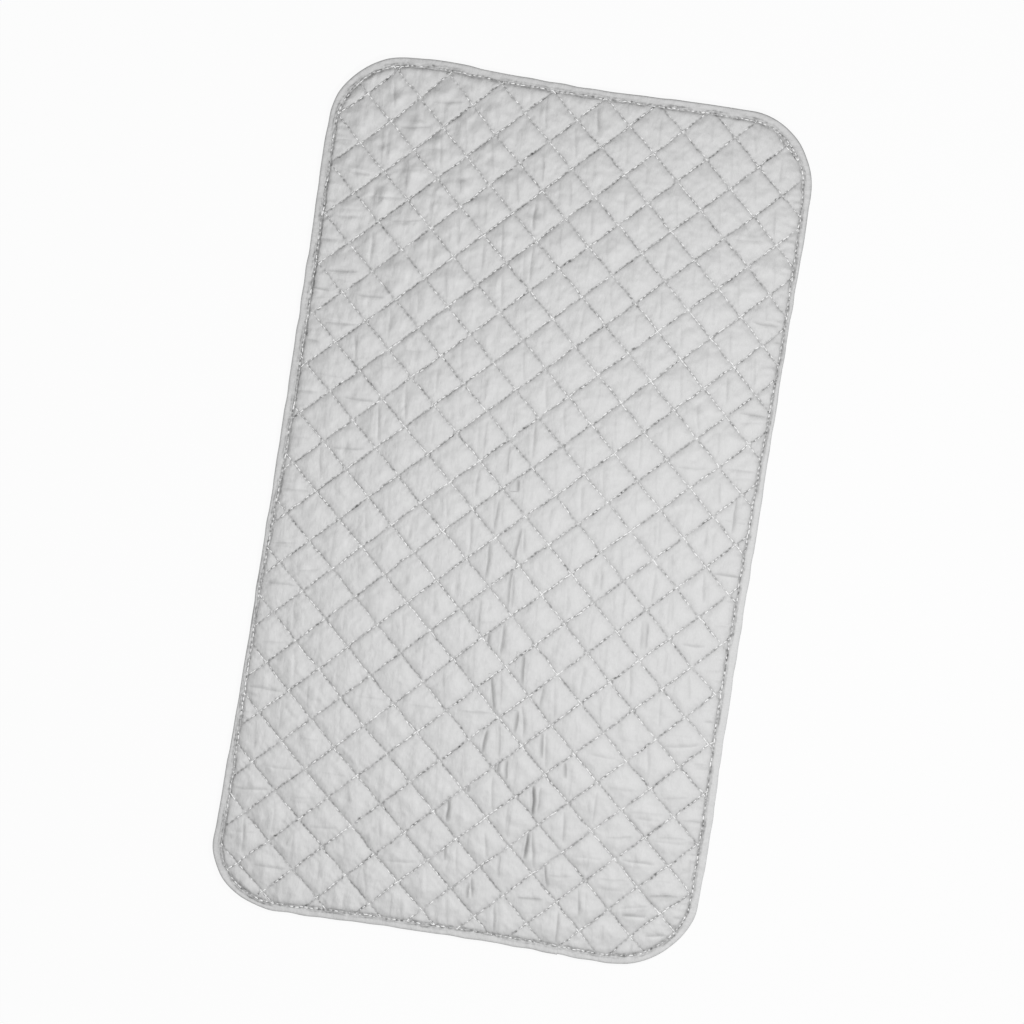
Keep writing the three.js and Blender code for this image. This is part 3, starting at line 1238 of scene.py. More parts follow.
@dataclass(frozen=True)
class CreaseField:
    """Short pleats, one or two in a diamond, deepest where the cover has cloth to spare, and long folds."""

    lattice: StitchLattice
    depth: float = 2.4 * MM
    shares: tuple[float, float] = (1.0, 0.4)
    shallowest: float = 0.35
    half_width: float = 1.5 * MM
    half_length: float = 20.0 * MM
    shortest: float = 0.6
    length_range: float = 0.5
    bow: float = 1.8 * MM
    lip_share: float = 0.45
    lip_place: float = 3.6 * MM
    lip_width: float = 2.25 * MM
    lip_right: float = 0.6
    lean: float = 0.1
    lean_range: float = 0.2
    shift: float = 12.0 * MM
    shift_middle: float = 0.62
    slide: float = 10.0 * MM
    seed: int = 23
    table_size: int = 64
    line_width: float = 1e-6
    everywhere: float = 0.22
    most: float = 1.1
    cross_turn: float = 1.55
    places: tuple[SpareCloth, ...] = (
        SpareCloth(-15, 55, 34, 50, 0.3),
        SpareCloth(-8, -40, 42, 60, 0.25),
        SpareCloth(0, -130, 40, 60, 0.3),
        SpareCloth(22, -215, 44, 50, 0.3),
        SpareCloth(62, -285, 58, 40, 0.3),
        SpareCloth(72, -340, 45, 40, 0.3),
        SpareCloth(40, -392, 85, 30, 0.4),
        SpareCloth(-165, 325, 85, 105, 0.22),
        SpareCloth(-205, 170, 40, 110, 0.25),
        SpareCloth(-20, 300, 32, 85, 0.4),
        SpareCloth(22, 400, 26, 26, 0.35),
        SpareCloth(-140, 88, 30, 40, 0.4),
        SpareCloth(142, -100, 30, 45, 0.4),
        SpareCloth(-222, -400, 40, 45, 0.45),
        SpareCloth(200, -360, 70, 70, 0.35),
        SpareCloth(225, 60, 35, 330, 0.3),
        SpareCloth(-225, -60, 30, 330, 0.25),
    )
    crosswise: tuple[SpareCloth, ...] = (
        SpareCloth(195, -320, 90, 115, 0.95),
        SpareCloth(230, 60, 35, 250, 0.7),
        SpareCloth(-230, -100, 35, 300, 0.7),
        SpareCloth(120, -400, 90, 30, 0.5),
        SpareCloth(-150, -250, 120, 150, 0.4),
        SpareCloth(-160, 330, 90, 110, 0.35),
        SpareCloth(-200, 170, 50, 110, 0.9),
    )
    fold_depth: float = 0.8 * MM
    sharp_side: float = 1.0 * MM
    soft_side: float = 2.6 * MM
    folds: tuple[LongFold, ...] = (
        LongFold((-16, 8), (-16, -25), 0.6),
        LongFold((10, -16), (9, -50), 0.8, soft_right=False),
        LongFold((-18, -33), (-16, -75), 0.8),
        LongFold((8, -56), (10, -100), 0.7, soft_right=False),
        LongFold((9, -112), (10, -145), 0.8),
        LongFold((-5, -123), (-4, -138), 0.9),
        LongFold((0, 31), (1, 18), 0.8, soft_right=False),
        LongFold((33, -137), (36, -169), 0.85, soft_right=False),
        LongFold((3, -163), (12, -200), 0.9),
        LongFold((57, -161), (56, -189), 0.6),
        LongFold((36, -193), (36, -217), 0.85, soft_right=False),
        LongFold((9, -215), (6, -241), 1.0),
        LongFold((63, -210), (66, -237), 0.8, soft_right=False),
        LongFold((33, -242), (34, -265), 0.8, soft_right=False),
        LongFold((24, -245), (24, -258), 0.9),
        LongFold((90, -236), (93, -253), 0.8, soft_right=False),
        LongFold((62, -262), (65, -296), 1.4),
        LongFold((64, -309), (63, -339), 1.25),
        LongFold((-19, -287), (-17, -314), 1.1),
        LongFold((-2, -273), (-2, -281), 0.9),
        LongFold((-16, -336), (-14, -352), 0.75),
        LongFold((84, -337), (90, -363), 0.8),
        LongFold((14, -369), (14, -386), 0.8, soft_right=False),
    )

    def relief(self, points: Array) -> Array:
        """Works out the heights of the pleats and folds.

        Args:
            points: Places on the cover, laid out straight.

        Returns:
            The heights to add.
        """
        total = np.zeros(len(points))
        for fold in self.long_folds(points):
            taper = np.clip(1 - fold[:, 1] ** 2, 0, 1)
            total -= self.fold_depth * fold[:, 2] * taper * np.exp(-(fold[:, 0] ** 2))
        for pleat in self.pleats(points):
            taper = np.clip(1 - pleat[:, 1] ** 2, 0, 1)
            lip = self.lip_share * np.exp(-(((pleat[:, 0] - self.lip_place) / self.lip_width) ** 2))
            groove = np.exp(-((pleat[:, 0] / self.half_width) ** 2))
            total += self.depth * pleat[:, 2] * taper * (lip - groove)
        return total

    def long_folds(self, points: Array) -> list[Array]:
        """Works out where points lie against the nearest of every other fold, and of the rest.

        Args:
            points: Places on the cover, laid out straight.

        Returns:
            For each of the two groups, what LongFold.place gives for its fold at the point.
        """
        groups = []
        for group in (self.folds[0::2], self.folds[1::2]):
            places = np.stack([fold.place(points, self.sharp_side, self.soft_side) for fold in group])
            nearest = np.argmax(places[:, :, 2], axis=0)
            groups.append(places[nearest, np.arange(len(points))])
        return groups

    def pleats(self, points: Array) -> list[Array]:
        """Works out where points lie against the long and the short pleat of their diamond.

        Args:
            points: Places on the cover, laid out straight.

        Returns:
            For each of the two, the distance across it, the share of its half length and its depth's share.
        """
        rising, falling = self.lattice.counts(points)
        row = np.floor(rising).astype(int)
        column = np.floor(falling).astype(int)
        centre = self.lattice.place(row + 0.5, column + 0.5)
        plenty = self.everywhere + self._share(centre, self.places)
        crosswise = self._share(centre, self.crosswise)
        gap = np.minimum(np.abs(rising - np.round(rising)), np.abs(falling - np.round(falling)))
        inside = gap > self.line_width
        size = self.table_size
        found = []
        for number, share in enumerate(self.shares):
            table = np.random.default_rng(self.seed + number).uniform(0, 1, (6, size, size))
            draw = table[:, row % size, column % size]
            turn = (draw[1] - 0.5) * self.lean_range + self.lean
            turn = turn + np.where(draw[5] < crosswise, self.cross_turn, 0.0)
            away = points[:, :2] - centre
            across = away[:, 0] * np.cos(turn) + away[:, 1] * np.sin(turn)
            along = away[:, 1] * np.cos(turn) - away[:, 0] * np.sin(turn)
            across = across - (draw[0] - self.shift_middle) * self.shift * (1 + number)
            half = self.half_length * (self.shortest + self.length_range * draw[3])
            along = (along - (draw[2] - 0.5) * self.slide) / half
            way = np.where(draw[4] > self.lip_right, -1, 1)
            across = (across + self.bow * (draw[5] - 0.5) * along**2) * way
            deep = share * plenty * (self.shallowest + (1 - self.shallowest) * draw[4]) * inside
            found.append(np.column_stack([across, along, deep]))
        return found

    def _share(self, centre: Array, places: tuple[SpareCloth, ...]) -> Array:
        """Adds up the shares of several places at the diamonds' centres."""
        return np.clip(sum(place.at(centre) for place in places), 0, self.most)


@dataclass(frozen=True)
class QuiltRelief:
    """How a quilted face swells between its stitch lines."""

    plan: PadPlan
    slope: float

    def fullness(self, points: Array) -> Array:
        """Works out the swelling's share, from 0 on a line to 1 far from all of them.

        Args:
            points: Places on the face.

        Returns:
            The shares.
        """
        edge_gap = np.maximum(self.plan.quilt_gap(points), 0)
        full = np.ones(len(points))
        for gap in (*self.plan.lattice.gaps(points), edge_gap):
            full *= 1 - np.exp(-gap / self.slope)
        return full


@dataclass
class ClothPuckers:
    """A cloth simulation of the cover: sewn down along its lines, with more cloth than its width needs.

    It runs on an enlarged copy, because the solver's springs suit things of a person's size.
    """

    grid: QuiltGrid
    enlarged: float = 20.0
    spare_across: float = 1.07
    spare_along: float = 1.0
    frames: int = 14
    sewn_width: float = 0.1 * MM
    start_roughness: float = 0.3 * MM
    start_noise: SmoothNoise = SmoothNoise(3, 4.0 * MM, 18.0 * MM)
    wadding_hold: float = 0.15
    share: float = 0.75
    most: float = 0.9 * MM

    def run(self, heights: Array) -> Array:
        """Simulates the cloth.

        Args:
            heights: The smooth cover's heights.

        Returns:
            The puckers' heights: how much more each point moved than its like in the other diamonds.
        """
        plan = self.grid.plan
        start = np.column_stack([self.grid.places, heights])
        sewn = np.minimum(*plan.lattice.gaps(start)) < self.sewn_width
        sewn |= plan.quilt_gap(start) < 0
        start[:, 2] += np.where(sewn, 0, self.start_roughness * self.start_noise.over(start))
        mesh = bpy.data.meshes.new("cover_simulation")
        mesh.from_pydata((start * self.enlarged).tolist(), [], self.grid.quads.tolist())
        cloth = link(bpy.data.objects.new("cover_simulation", mesh))
        self._dress(cloth, start * self.enlarged, sewn)
        scene = bpy.context.scene
        for number in range(1, self.frames + 1):
            scene.frame_set(number)
        settled = cloth.evaluated_get(bpy.context.evaluated_depsgraph_get()).to_mesh()
        found = np.zeros(len(start) * 3, np.float32)
        settled.vertices.foreach_get("co", found)
        scene.frame_set(1)
        bpy.data.objects.remove(cloth)
        moved = found.reshape(-1, 3)[:, 2] / self.enlarged - heights
        return np.clip(self.share * self._uncommon(moved, sewn), -self.most, self.most)

    def _uncommon(self, moved: Array, sewn: Array) -> Array:
        """Returns the moves less their mean over all diamonds, and none where it is sewn."""
        segments = self.grid.segments
        row = np.round(self.grid.rising * segments).astype(int) % segments
        column = np.round(self.grid.falling * segments).astype(int) % segments
        like = row * segments + column
        loose = np.where(sewn, 0.0, 1.0)
        total = np.bincount(like, moved * loose, segments**2)
        count = np.bincount(like, loose, segments**2)
        return (moved - (total / np.maximum(count, 1))[like]) * loose

    def _dress(self, cloth: bpy.types.Object, start: Array, sewn: Array) -> None:
        """Gives the cloth its cut size, its sewn lines and its springs.

        Args:
            cloth: The cloth.
            start: Where its points lie.
            sewn: Which points are sewn down.
        """
        cloth.shape_key_add(name="lies")
        cut = cloth.shape_key_add(name="cut")
        flat = start * np.array([self.spare_across, self.spare_along, 1])
        cut.data.foreach_set("co", flat.astype(np.float32).ravel())
        held = cloth.vertex_groups.new(name="held")
        held.add(np.nonzero(sewn)[0].tolist(), 1.0, "REPLACE")
        held.add(np.nonzero(~sewn)[0].tolist(), self.wadding_hold, "REPLACE")
        modifier = cloth.modifiers.new("Cloth", "CLOTH")
        settings = modifier.settings
        settings.quality = 5
        settings.mass = 0.02
        settings.tension_stiffness = 40
        settings.compression_stiffness = 40
        settings.shear_stiffness = 10
        settings.bending_stiffness = 0.05
        settings.tension_damping = 1
        settings.compression_damping = 1
        settings.shear_damping = 1
        settings.vertex_group_mass = held.name
        settings.rest_shape_key = cut
        settings.effector_weights.gravity = 0
        modifier.collision_settings.use_collision = False
        modifier.point_cache.frame_start = 1
        modifier.point_cache.frame_end = self.frames


@dataclass(frozen=True)
class StitchPull:
    """What the stitches do to the cloth beside them: pits at the needle holes, scallops and fine puckers."""

    plan: PadPlan
    shown_from: float = 2.0 * MM
    pit: float = 0.65 * MM
    pit_reach: float = 0.9 * MM
    slit: float = 0.2 * MM
    scallop: float = 0.9 * MM
    scallop_start: float = 0.4 * MM
    scallop_reach: float = 2.4 * MM
    scallop_range: float = 0.5
    scallop_noise: tuple[SmoothNoise, ...] = (SmoothNoise(51, 1.3, 9.0 * MM), SmoothNoise(52, 1.3, 9.0 * MM))
    pucker: float = 1.1 * MM
    pucker_start: float = 1.2 * MM
    pucker_reach: float = 6.0 * MM
    pucker_noise: tuple[SmoothNoise, ...] = (
        SmoothNoise(61, 3.2 * MM, 14.0 * MM),
        SmoothNoise(62, 3.2 * MM, 14.0 * MM),
    )
    edge_gather: float = 1.7 * MM
    edge_reach: float = 9.0 * MM
    upright_noise: SmoothNoise = SmoothNoise(67, 3.6 * MM, 15.0 * MM)
    level_noise: SmoothNoise = SmoothNoise(68, 15.0 * MM, 3.6 * MM)

    def heights(self, points: Array) -> Array:
        """Works out the heights to add.

        Args:
            points: Places on the cover, laid out straight.

        Returns:
            The heights.
        """
        edge_gap = np.maximum(self.plan.quilt_gap(points), 0)
        shown = np.clip(edge_gap / self.shown_from, 0, 1)
        stitch = self.plan.lattice.stitch_length()
        total = self.edge_gather * self._gather(points) * np.exp(-edge_gap / self.edge_reach)
        lines = self.plan.lattice.along_lines(points)
        for (place, gap), uneven, gathers in zip(lines, self.scallop_noise, self.pucker_noise):
            wave = 0.5 + 0.5 * np.cos(2 * math.pi * place)
            fickle = 1 + self.scallop_range * uneven.at(place, gap)
            total -= (self.slit + self.pit * wave**2) * np.exp(-((gap / self.pit_reach) ** 2))
            beside = np.exp(-gap / self.scallop_reach) * (1 - np.exp(-gap / self.scallop_start))
            total += self.scallop * fickle * (0.5 - wave) * beside
            beside = np.exp(-gap / self.pucker_reach) * (1 - np.exp(-gap / self.pucker_start))
            total += self.pucker * gathers.at(place * stitch, gap) * beside
        return total * shown

    def _gather(self, points: Array) -> Array:
        """Returns noise in streaks that run away from the nearest edge."""
        outline = self.plan.outline
        upright = outline.half_length - np.abs(points[:, 1]) < outline.half_width - np.abs(points[:, 0])
        return np.where(upright, self.upright_noise.over(points), self.level_noise.over(points))


@dataclass(frozen=True)
class Wrinkles:
    """Soft dents and lengthwise wrinkles of the cloth: their spacings and heights, in millimetres."""

    seed: int = 71
    dents: tuple[float, float, float] = (11.0, 11.0, 1.45)
    ripples: tuple[float, float, float] = (4.5, 6.5, 0.48)
    streaks: tuple[float, float, float] = (2.4, 13.0, 0.25)
    more: tuple[SpareCloth, ...] = (
        SpareCloth(170, -330, 110, 120, 0.8),
        SpareCloth(10, -320, 90, 120, 0.1),
        SpareCloth(-150, -290, 100, 120, 0.25),
        SpareCloth(10, 0, 60, 170, -0.5),
        SpareCloth(160, 20, 80, 170, 0.6),
        SpareCloth(-150, 320, 120, 150, 1.45),
        SpareCloth(-150, 0, 80, 170, 0.2),
    )

    def heights(self, points: Array) -> Array:
        """Works out the heights to add.

        Args:
            points: Places on the cover, laid out straight.

        Returns:
            The heights.
        """
        total = np.zeros(len(points))
        for number, (across, along, height) in enumerate((self.dents, self.ripples, self.streaks)):
            noise = SmoothNoise(self.seed + number, across * MM, along * MM)
            total += height * MM * noise.over(points)
        return total * sum((place.at(points) for place in self.more), np.ones(len(points)))


@dataclass
class QuiltedCover:
    """The puffed top cover, stitched down in diamonds over its wadding."""

    plan: PadPlan
    finish: WovenFinish
    segments: int = 22
    tuck: float = 0.5 * MM
    swell: float = 3.6 * MM
    slope: float = 7.0 * MM
    uneven: float = 0.14
    waves: SmoothNoise = SmoothNoise(7, 45.0 * MM, 60.0 * MM)
    bag_seed: int = 5
    bag_table: int = 64
    hem_ramp: float = 1.5 * MM
    thinnest: float = 0.05 * MM
    name: str = "quilted_cover"

    def relief(self) -> QuiltRelief:
        """Returns the way in which the cover swells."""
        return QuiltRelief(self.plan, self.slope)

    def build(self) -> bpy.types.Object:
        grid = QuiltGrid(self.plan, self.segments, self.tuck)
        heights = self._smooth(grid.places)
        full = self.relief().fullness(grid.places)
        heights += self._simulated(grid)
        creases = CreaseField(self.plan.lattice)
        heights += creases.relief(grid.places) * np.sqrt(full)
        heights += Wrinkles().heights(grid.places) * full
        heights += StitchPull(self.plan).heights(grid.places)
        heights = np.maximum(heights, self.plan.levels.cover_floor + self.thinnest)
        draft = grid.slab(heights, self.plan.levels.cover_floor)
        # The pleats' and folds' places, where PleatShade paints shade and shadow.
        draft.attributes.update(zip(PleatShade.PLEATS, creases.pleats(draft.points)))
        draft.attributes.update(zip(PleatShade.FOLDS, creases.long_folds(draft.points)))
        self.plan.lay(draft)
        piece = draft.to_object(self.name, self.finish.material())
        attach(piece, BODY)
        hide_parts("top_cover")
        return piece

    def _smooth(self, places: Array) -> Array:
        """Works out the heights of the cover before it puckers.

        Args:
            places: Places on the cover.

        Returns:
            The heights.
        """
        full = self.relief().fullness(places)
        rising, falling = self.plan.lattice.counts(places)
        draw = np.random.default_rng(self.bag_seed).uniform(-1, 1, (self.bag_table, self.bag_table))
        row, column = (np.floor(count).astype(int) % self.bag_table for count in (rising, falling))
        uneven = self.uneven * draw[row, column] + self.uneven * self.waves.over(places)
        swell = self.swell * (1 + uneven)
        free = eased(np.clip(self.plan.quilt_gap(places) / self.hem_ramp, 0, 1))
        levels = self.plan.levels
        sewn = levels.hem + (levels.stitch - levels.hem) * free
        return sewn + swell * full

    def _simulated(self, grid: QuiltGrid) -> Array:
        """Simulates a coarser cover and returns its puckers at the fine grid's points."""
        coarse = QuiltGrid(self.plan, self.segments // 2)
        puckers = ClothPuckers(coarse).run(self._smooth(coarse.places))
        return coarse.read(puckers, grid.rising, grid.falling)


@dataclass
class BackingCloth:
    """The plain cloth under the pad, puffed lightly between the same stitch lines."""

    plan: PadPlan
    finish: WovenFinish
    segments: int = 11
    slope: float = 4.5 * MM
    slack: float = 0.12 * MM
    waves: SmoothNoise = SmoothNoise(17, 10.0 * MM, 26.0 * MM)
    name: str = "backing_sheet"

    def lowest(self, places: Array) -> Array:
        """Works out the heights of the backing's underside.

        Args:
            places: Places on the backing.

        Returns:
            The heights.
        """
        levels = self.plan.levels
        full = QuiltRelief(self.plan, self.slope).fullness(places)
        swell = levels.backing_groove - levels.backing_crown - self.slack * (self.waves.over(places) + 1)
        return levels.backing_groove - swell * full

    def build(self) -> bpy.types.Object:
        grid = QuiltGrid(self.plan, self.segments)
        low = self.lowest(grid.places)
        draft = grid.sheet(low + self.plan.levels.backing_cloth, low)
        self.plan.lay(draft)
        piece = draft.to_object(self.name, self.finish.material())
        width, length = self.plan.cut_size()
        corner = self.plan.outline.corner_radius - self.plan.cut_edge
        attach(piece, BODY)
        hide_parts("backing_cloth")
        width * length - (4 - math.pi) * corner**2
        return piece


@dataclass
class InnerLayer:
    """A hidden layer of the filling, pressed in along the stitch lines."""

    plan: PadPlan
    finish: FibreFinish | FilmFinish
    node: str
    slot: str
    heights: tuple[float, float]
    name: str
    padded: bool
    segments: int = 5
    slope: float = 4.0 * MM
    pressed: float = 0.35

    def build(self) -> bpy.types.Object:
        grid = QuiltGrid(self.plan, self.segments)
        low, high = self.heights
        full = QuiltRelief(self.plan, self.slope).fullness(grid.places)
        lost = self.pressed * (high - low) * (1 - full)
        draft = grid.sheet(high - lost, np.full(len(full), low))
        draft.points = self.plan.drift().move(draft.points)
        piece = draft.to_object(self.name, self.finish.material())
        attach(piece, BODY)
        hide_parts(self.node)
        if self.padded:
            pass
        else:
            self.plan.cut_size()
        return piece


@dataclass
class EdgeBinding:
    """Woven tape folded round the pad's edge, with its end lapped over its start on the -Y edge."""

    plan: PadPlan
    finish: WovenFinish
    lap_end: float = 108.0 * MM
    lap: float = 15.0 * MM
    lap_rise: float = 0.55 * MM
    lap_ramp: float = 8.0 * MM
    lap_bulge: float = 0.35 * MM
    lap_bulge_reach: float = 4.0 * MM
    cloth: float = 0.5 * MM
    lower_leaf: float = 9.7 * MM
    fold_depth: float = 1.0 * MM
    fold_roundness: float = 0.85
    fold_margin: float = 0.03 * MM
    edge_height: float = 5.1 * MM
    roll: float = 0.1 * MM
    groove: float = 0.65 * MM
    groove_width: float = 1.3 * MM
    droop: float = 0.3 * MM
    underside: float = 0.05 * MM
    underside_lift: float = 0.2 * MM
    underside_lift_width: float = 1.1 * MM
    corner_gather: float = 4.0
    ripple: float = 0.42 * MM
    ripple_noise: SmoothNoise = SmoothNoise(31, 4.5 * MM, 9.0 * MM)
    fine: float = 0.36 * MM
    fine_noise: SmoothNoise = SmoothNoise(33, 2.2 * MM, 4.0 * MM)
    pull: float = 0.1 * MM
    pull_width: float = 1.8 * MM
    wander: float = 0.5 * MM
    wander_reach: float = 6.0 * MM
    wander_noise: SmoothNoise = SmoothNoise(37, 16.0 * MM, 1.0)
    hem: float = 0.3 * MM
    hem_noise: SmoothNoise = SmoothNoise(41, 8.0 * MM, 1.0)
    stations_per_stitch: int = 3
    name: str = "binding_tape"

    WEAVE = "tape_weave"
    LIP = (1.0, 0.75, 0.5, 0.25)
    ROLL = (0.0, 0.05, 0.11, 0.18, 0.27, 0.38, 0.5, 0.63, 0.76, 0.88)
    LOWER = (0.25, 0.38, 0.52, 0.64, 0.72, 0.79, 0.86, 0.93, 1.0)
    FOLD_DEGREES = range(75, -76, -15)

    def seam_level(self) -> float:
        """Returns the height of the tape's upper face along its seam."""
        return self.edge_height - self.groove

    def section(self, seam: Array) -> tuple[Array, Array, Array]:
        """Draws the tape's outer line from the upper leaf's end, round the fold, to the lower leaf's end.

        Args:
            seam: The seam's inset at each station.

        Returns:
            The line's insets and heights at each station, and a share from 1 on the upper face to 0 below.
        """
        wide = seam[:, None]
        lip = wide + np.array(self.LIP) * self.plan.seam_lip
        rolled = wide - np.array(self.ROLL) * (wide - self.fold_depth)
        upper = np.concatenate([lip, rolled], axis=1)
        away = np.abs(upper - wide)
        crown = self.roll * np.sin(math.pi * np.clip((wide - upper) / wide, 0, 1))
        dip = self.groove * np.exp(-((away / self.groove_width) ** 2))
        droop = self.droop * np.clip((upper - wide) / self.plan.seam_lip, 0, 1)
        upper_height = self.edge_height + crown - dip - droop
        turn = np.radians(self.FOLD_DEGREES)
        middle = self.edge_height / 2
        fold = np.tile(self.fold_depth * (1 - np.cos(turn) ** self.fold_roundness), (len(seam), 1))
        fold_height = np.tile(middle + (middle - self.fold_margin) * np.sin(turn), (len(seam), 1))
        lower = np.tile(np.array(self.LOWER) * self.lower_leaf, (len(seam), 1))
        lift = np.exp(-(((lower - self.plan.seam_inset) / self.underside_lift_width) ** 2))
        lower_height = self.underside + self.underside_lift * lift
        insets = np.concatenate([upper, fold, lower], axis=1)
        heights = np.concatenate([upper_height, fold_height, lower_height], axis=1)
        return insets, heights, np.clip(heights[0] / self.edge_height, 0, 1)

    def build(self) -> bpy.types.Object:
        loop = self.plan.outline.perimeter(self.plan.seam_inset)
        count = self.plan.seam_stitches() * self.stations_per_stitch
        step = loop / count
        extra = math.ceil(self.lap / step)
        walked = self.lap_end - self.lap + step * np.arange(count + extra + 1)
        edge, _ = self.plan.outline.walk(walked, self.plan.seam_inset)
        insets, heights, share = self.section(self.plan.seam(edge))
        outer = self._swept(walked, 0.0)
        inner = self._swept(walked, self.cloth)
        seam = np.where(share > 0.5, self.plan.seam(edge)[:, None], self.plan.seam_inset)
        draft = self._closed(outer, inner, walked, np.stack([insets, insets - seam], axis=-1))
        draft.points = self.plan.drift().move(draft.points)
        piece = draft.to_object(self.name, self.finish.material())
        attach(piece, BODY)
        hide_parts("edge_binding")
        line = np.hypot(np.diff(insets), np.diff(heights)).sum(axis=1).mean()
        flat = (float(line), float(loop + self.lap))
        return piece

    def _swept(self, walked: Array, depth: float) -> Array:
        """Sweeps the section round the pad, at a depth inside the tape's outer face.

        Args:
            walked: Lengths walked to each station.
            depth: How deep inside the tape the face lies.

        Returns:
            Points, by station and by place in the section.
        """
        edge, outwards = self.plan.outline.walk(walked, self.plan.seam_inset)
        seam = self.plan.seam(edge)[:, None]
        insets, heights, share = self.section(seam[:, 0])
        tangent = np.stack([np.gradient(insets, axis=1), np.gradient(heights, axis=1)], axis=-1)
        normal = np.stack([-tangent[..., 1], tangent[..., 0]], axis=-1)
        normal /= np.linalg.norm(normal, axis=-1, keepdims=True)
        placed = insets + depth * normal[..., 0]
        height = heights + depth * normal[..., 1]
        along = np.broadcast_to(walked[:, None], insets.shape)
        bend = 1 - np.abs(outwards).max(axis=1)
        gather = 1 + self.corner_gather * bend[:, None]
        stitch = np.cos(2 * math.pi * (along - self.lap_end + self.lap) / self.plan.seam_stitch_length())
        near_seam = np.exp(-(((insets - seam) / self.pull_width) ** 2))
        rise = self.ripple * gather * self.ripple_noise.at(along, insets)
        rise = rise + self.fine * self.fine_noise.at(along, insets) - self.pull * near_seam * (1 + stitch)
        upper = np.clip(2 * share - 1, 0, 1)[None, :]
        lapped = self._lapped(walked)[:, None]
        height = height + upper * (rise + lapped * self.lap_rise)
        lip = np.clip((insets - seam) / self.plan.seam_lip, 0, 1) * upper
        outer = np.clip(1 - insets / self.wander_reach, 0, 1)
        slide = self.wander * self.wander_noise.at(along, 0 * insets) * outer
        slide = slide + self.hem * lip * self.hem_noise.at(along, 0 * insets)
        slide = slide - self.lap_bulge * lapped * np.clip(1 - insets / self.lap_bulge_reach, 0, 1)
        points = edge[:, None, :] - (placed + slide)[..., None] * outwards[:, None, :]
        return np.concatenate([points, height[..., None]], axis=2)

    def _lapped(self, walked: Array) -> Array:
        """Returns 1 where the tape lies over its own start, falling smoothly to 0 before that."""
        loop = self.plan.outline.perimeter(self.plan.seam_inset)
        past = walked - (self.lap_end - self.lap) - loop + self.lap_ramp
        return eased(np.clip(past / self.lap_ramp, 0, 1))

    def lifted(self, walked: Array) -> Array:
        """Returns how much higher the seam lies where the tape is double."""
        loop = self.plan.outline.perimeter(self.plan.seam_inset)
        past = (walked - self.lap_end + self.lap + self.lap_ramp) % loop
        return self.lap_rise * np.minimum(past / self.lap_ramp, 1) * (past < self.lap + self.lap_ramp)

    def _closed(self, outer: Array, inner: Array, walked: Array, across: Array) -> MeshDraft:
        """Closes the outer and the inner face into one tape.

        Args:
            outer: Points of the outer face.
            inner: Points of the inner face.
            walked: Lengths walked to each station.
            across: The section's distances from the outer edge and from the seam.

        Returns:
            The tape's mesh, with its weave's coordinates.
        """
        ring = np.concatenate([outer, inner[:, ::-1]], axis=1)
        stations, around = ring.shape[:2]
        number = np.arange(stations * around).reshape(stations, around)
        following = np.roll(number, -1, axis=1)
        sides = np.stack([number[:-1], number[1:], following[1:], following[:-1]], axis=-1).reshape(-1, 4)
        place = np.arange(around // 2 - 1)
        cap = np.stack([place, place + 1, around - 2 - place, around - 1 - place], axis=1)
        weave = np.zeros((stations, around, 3))
        weave[..., 0] = walked[:, None]
        weave[..., 1:] = np.concatenate([across, across[:, ::-1]], axis=1)
        faces = np.concatenate([sides, number[0][cap], number[-1][cap[:, ::-1]]]).tolist()
        return MeshDraft(ring.reshape(-1, 3), faces, {self.WEAVE: weave.reshape(-1, 3)})


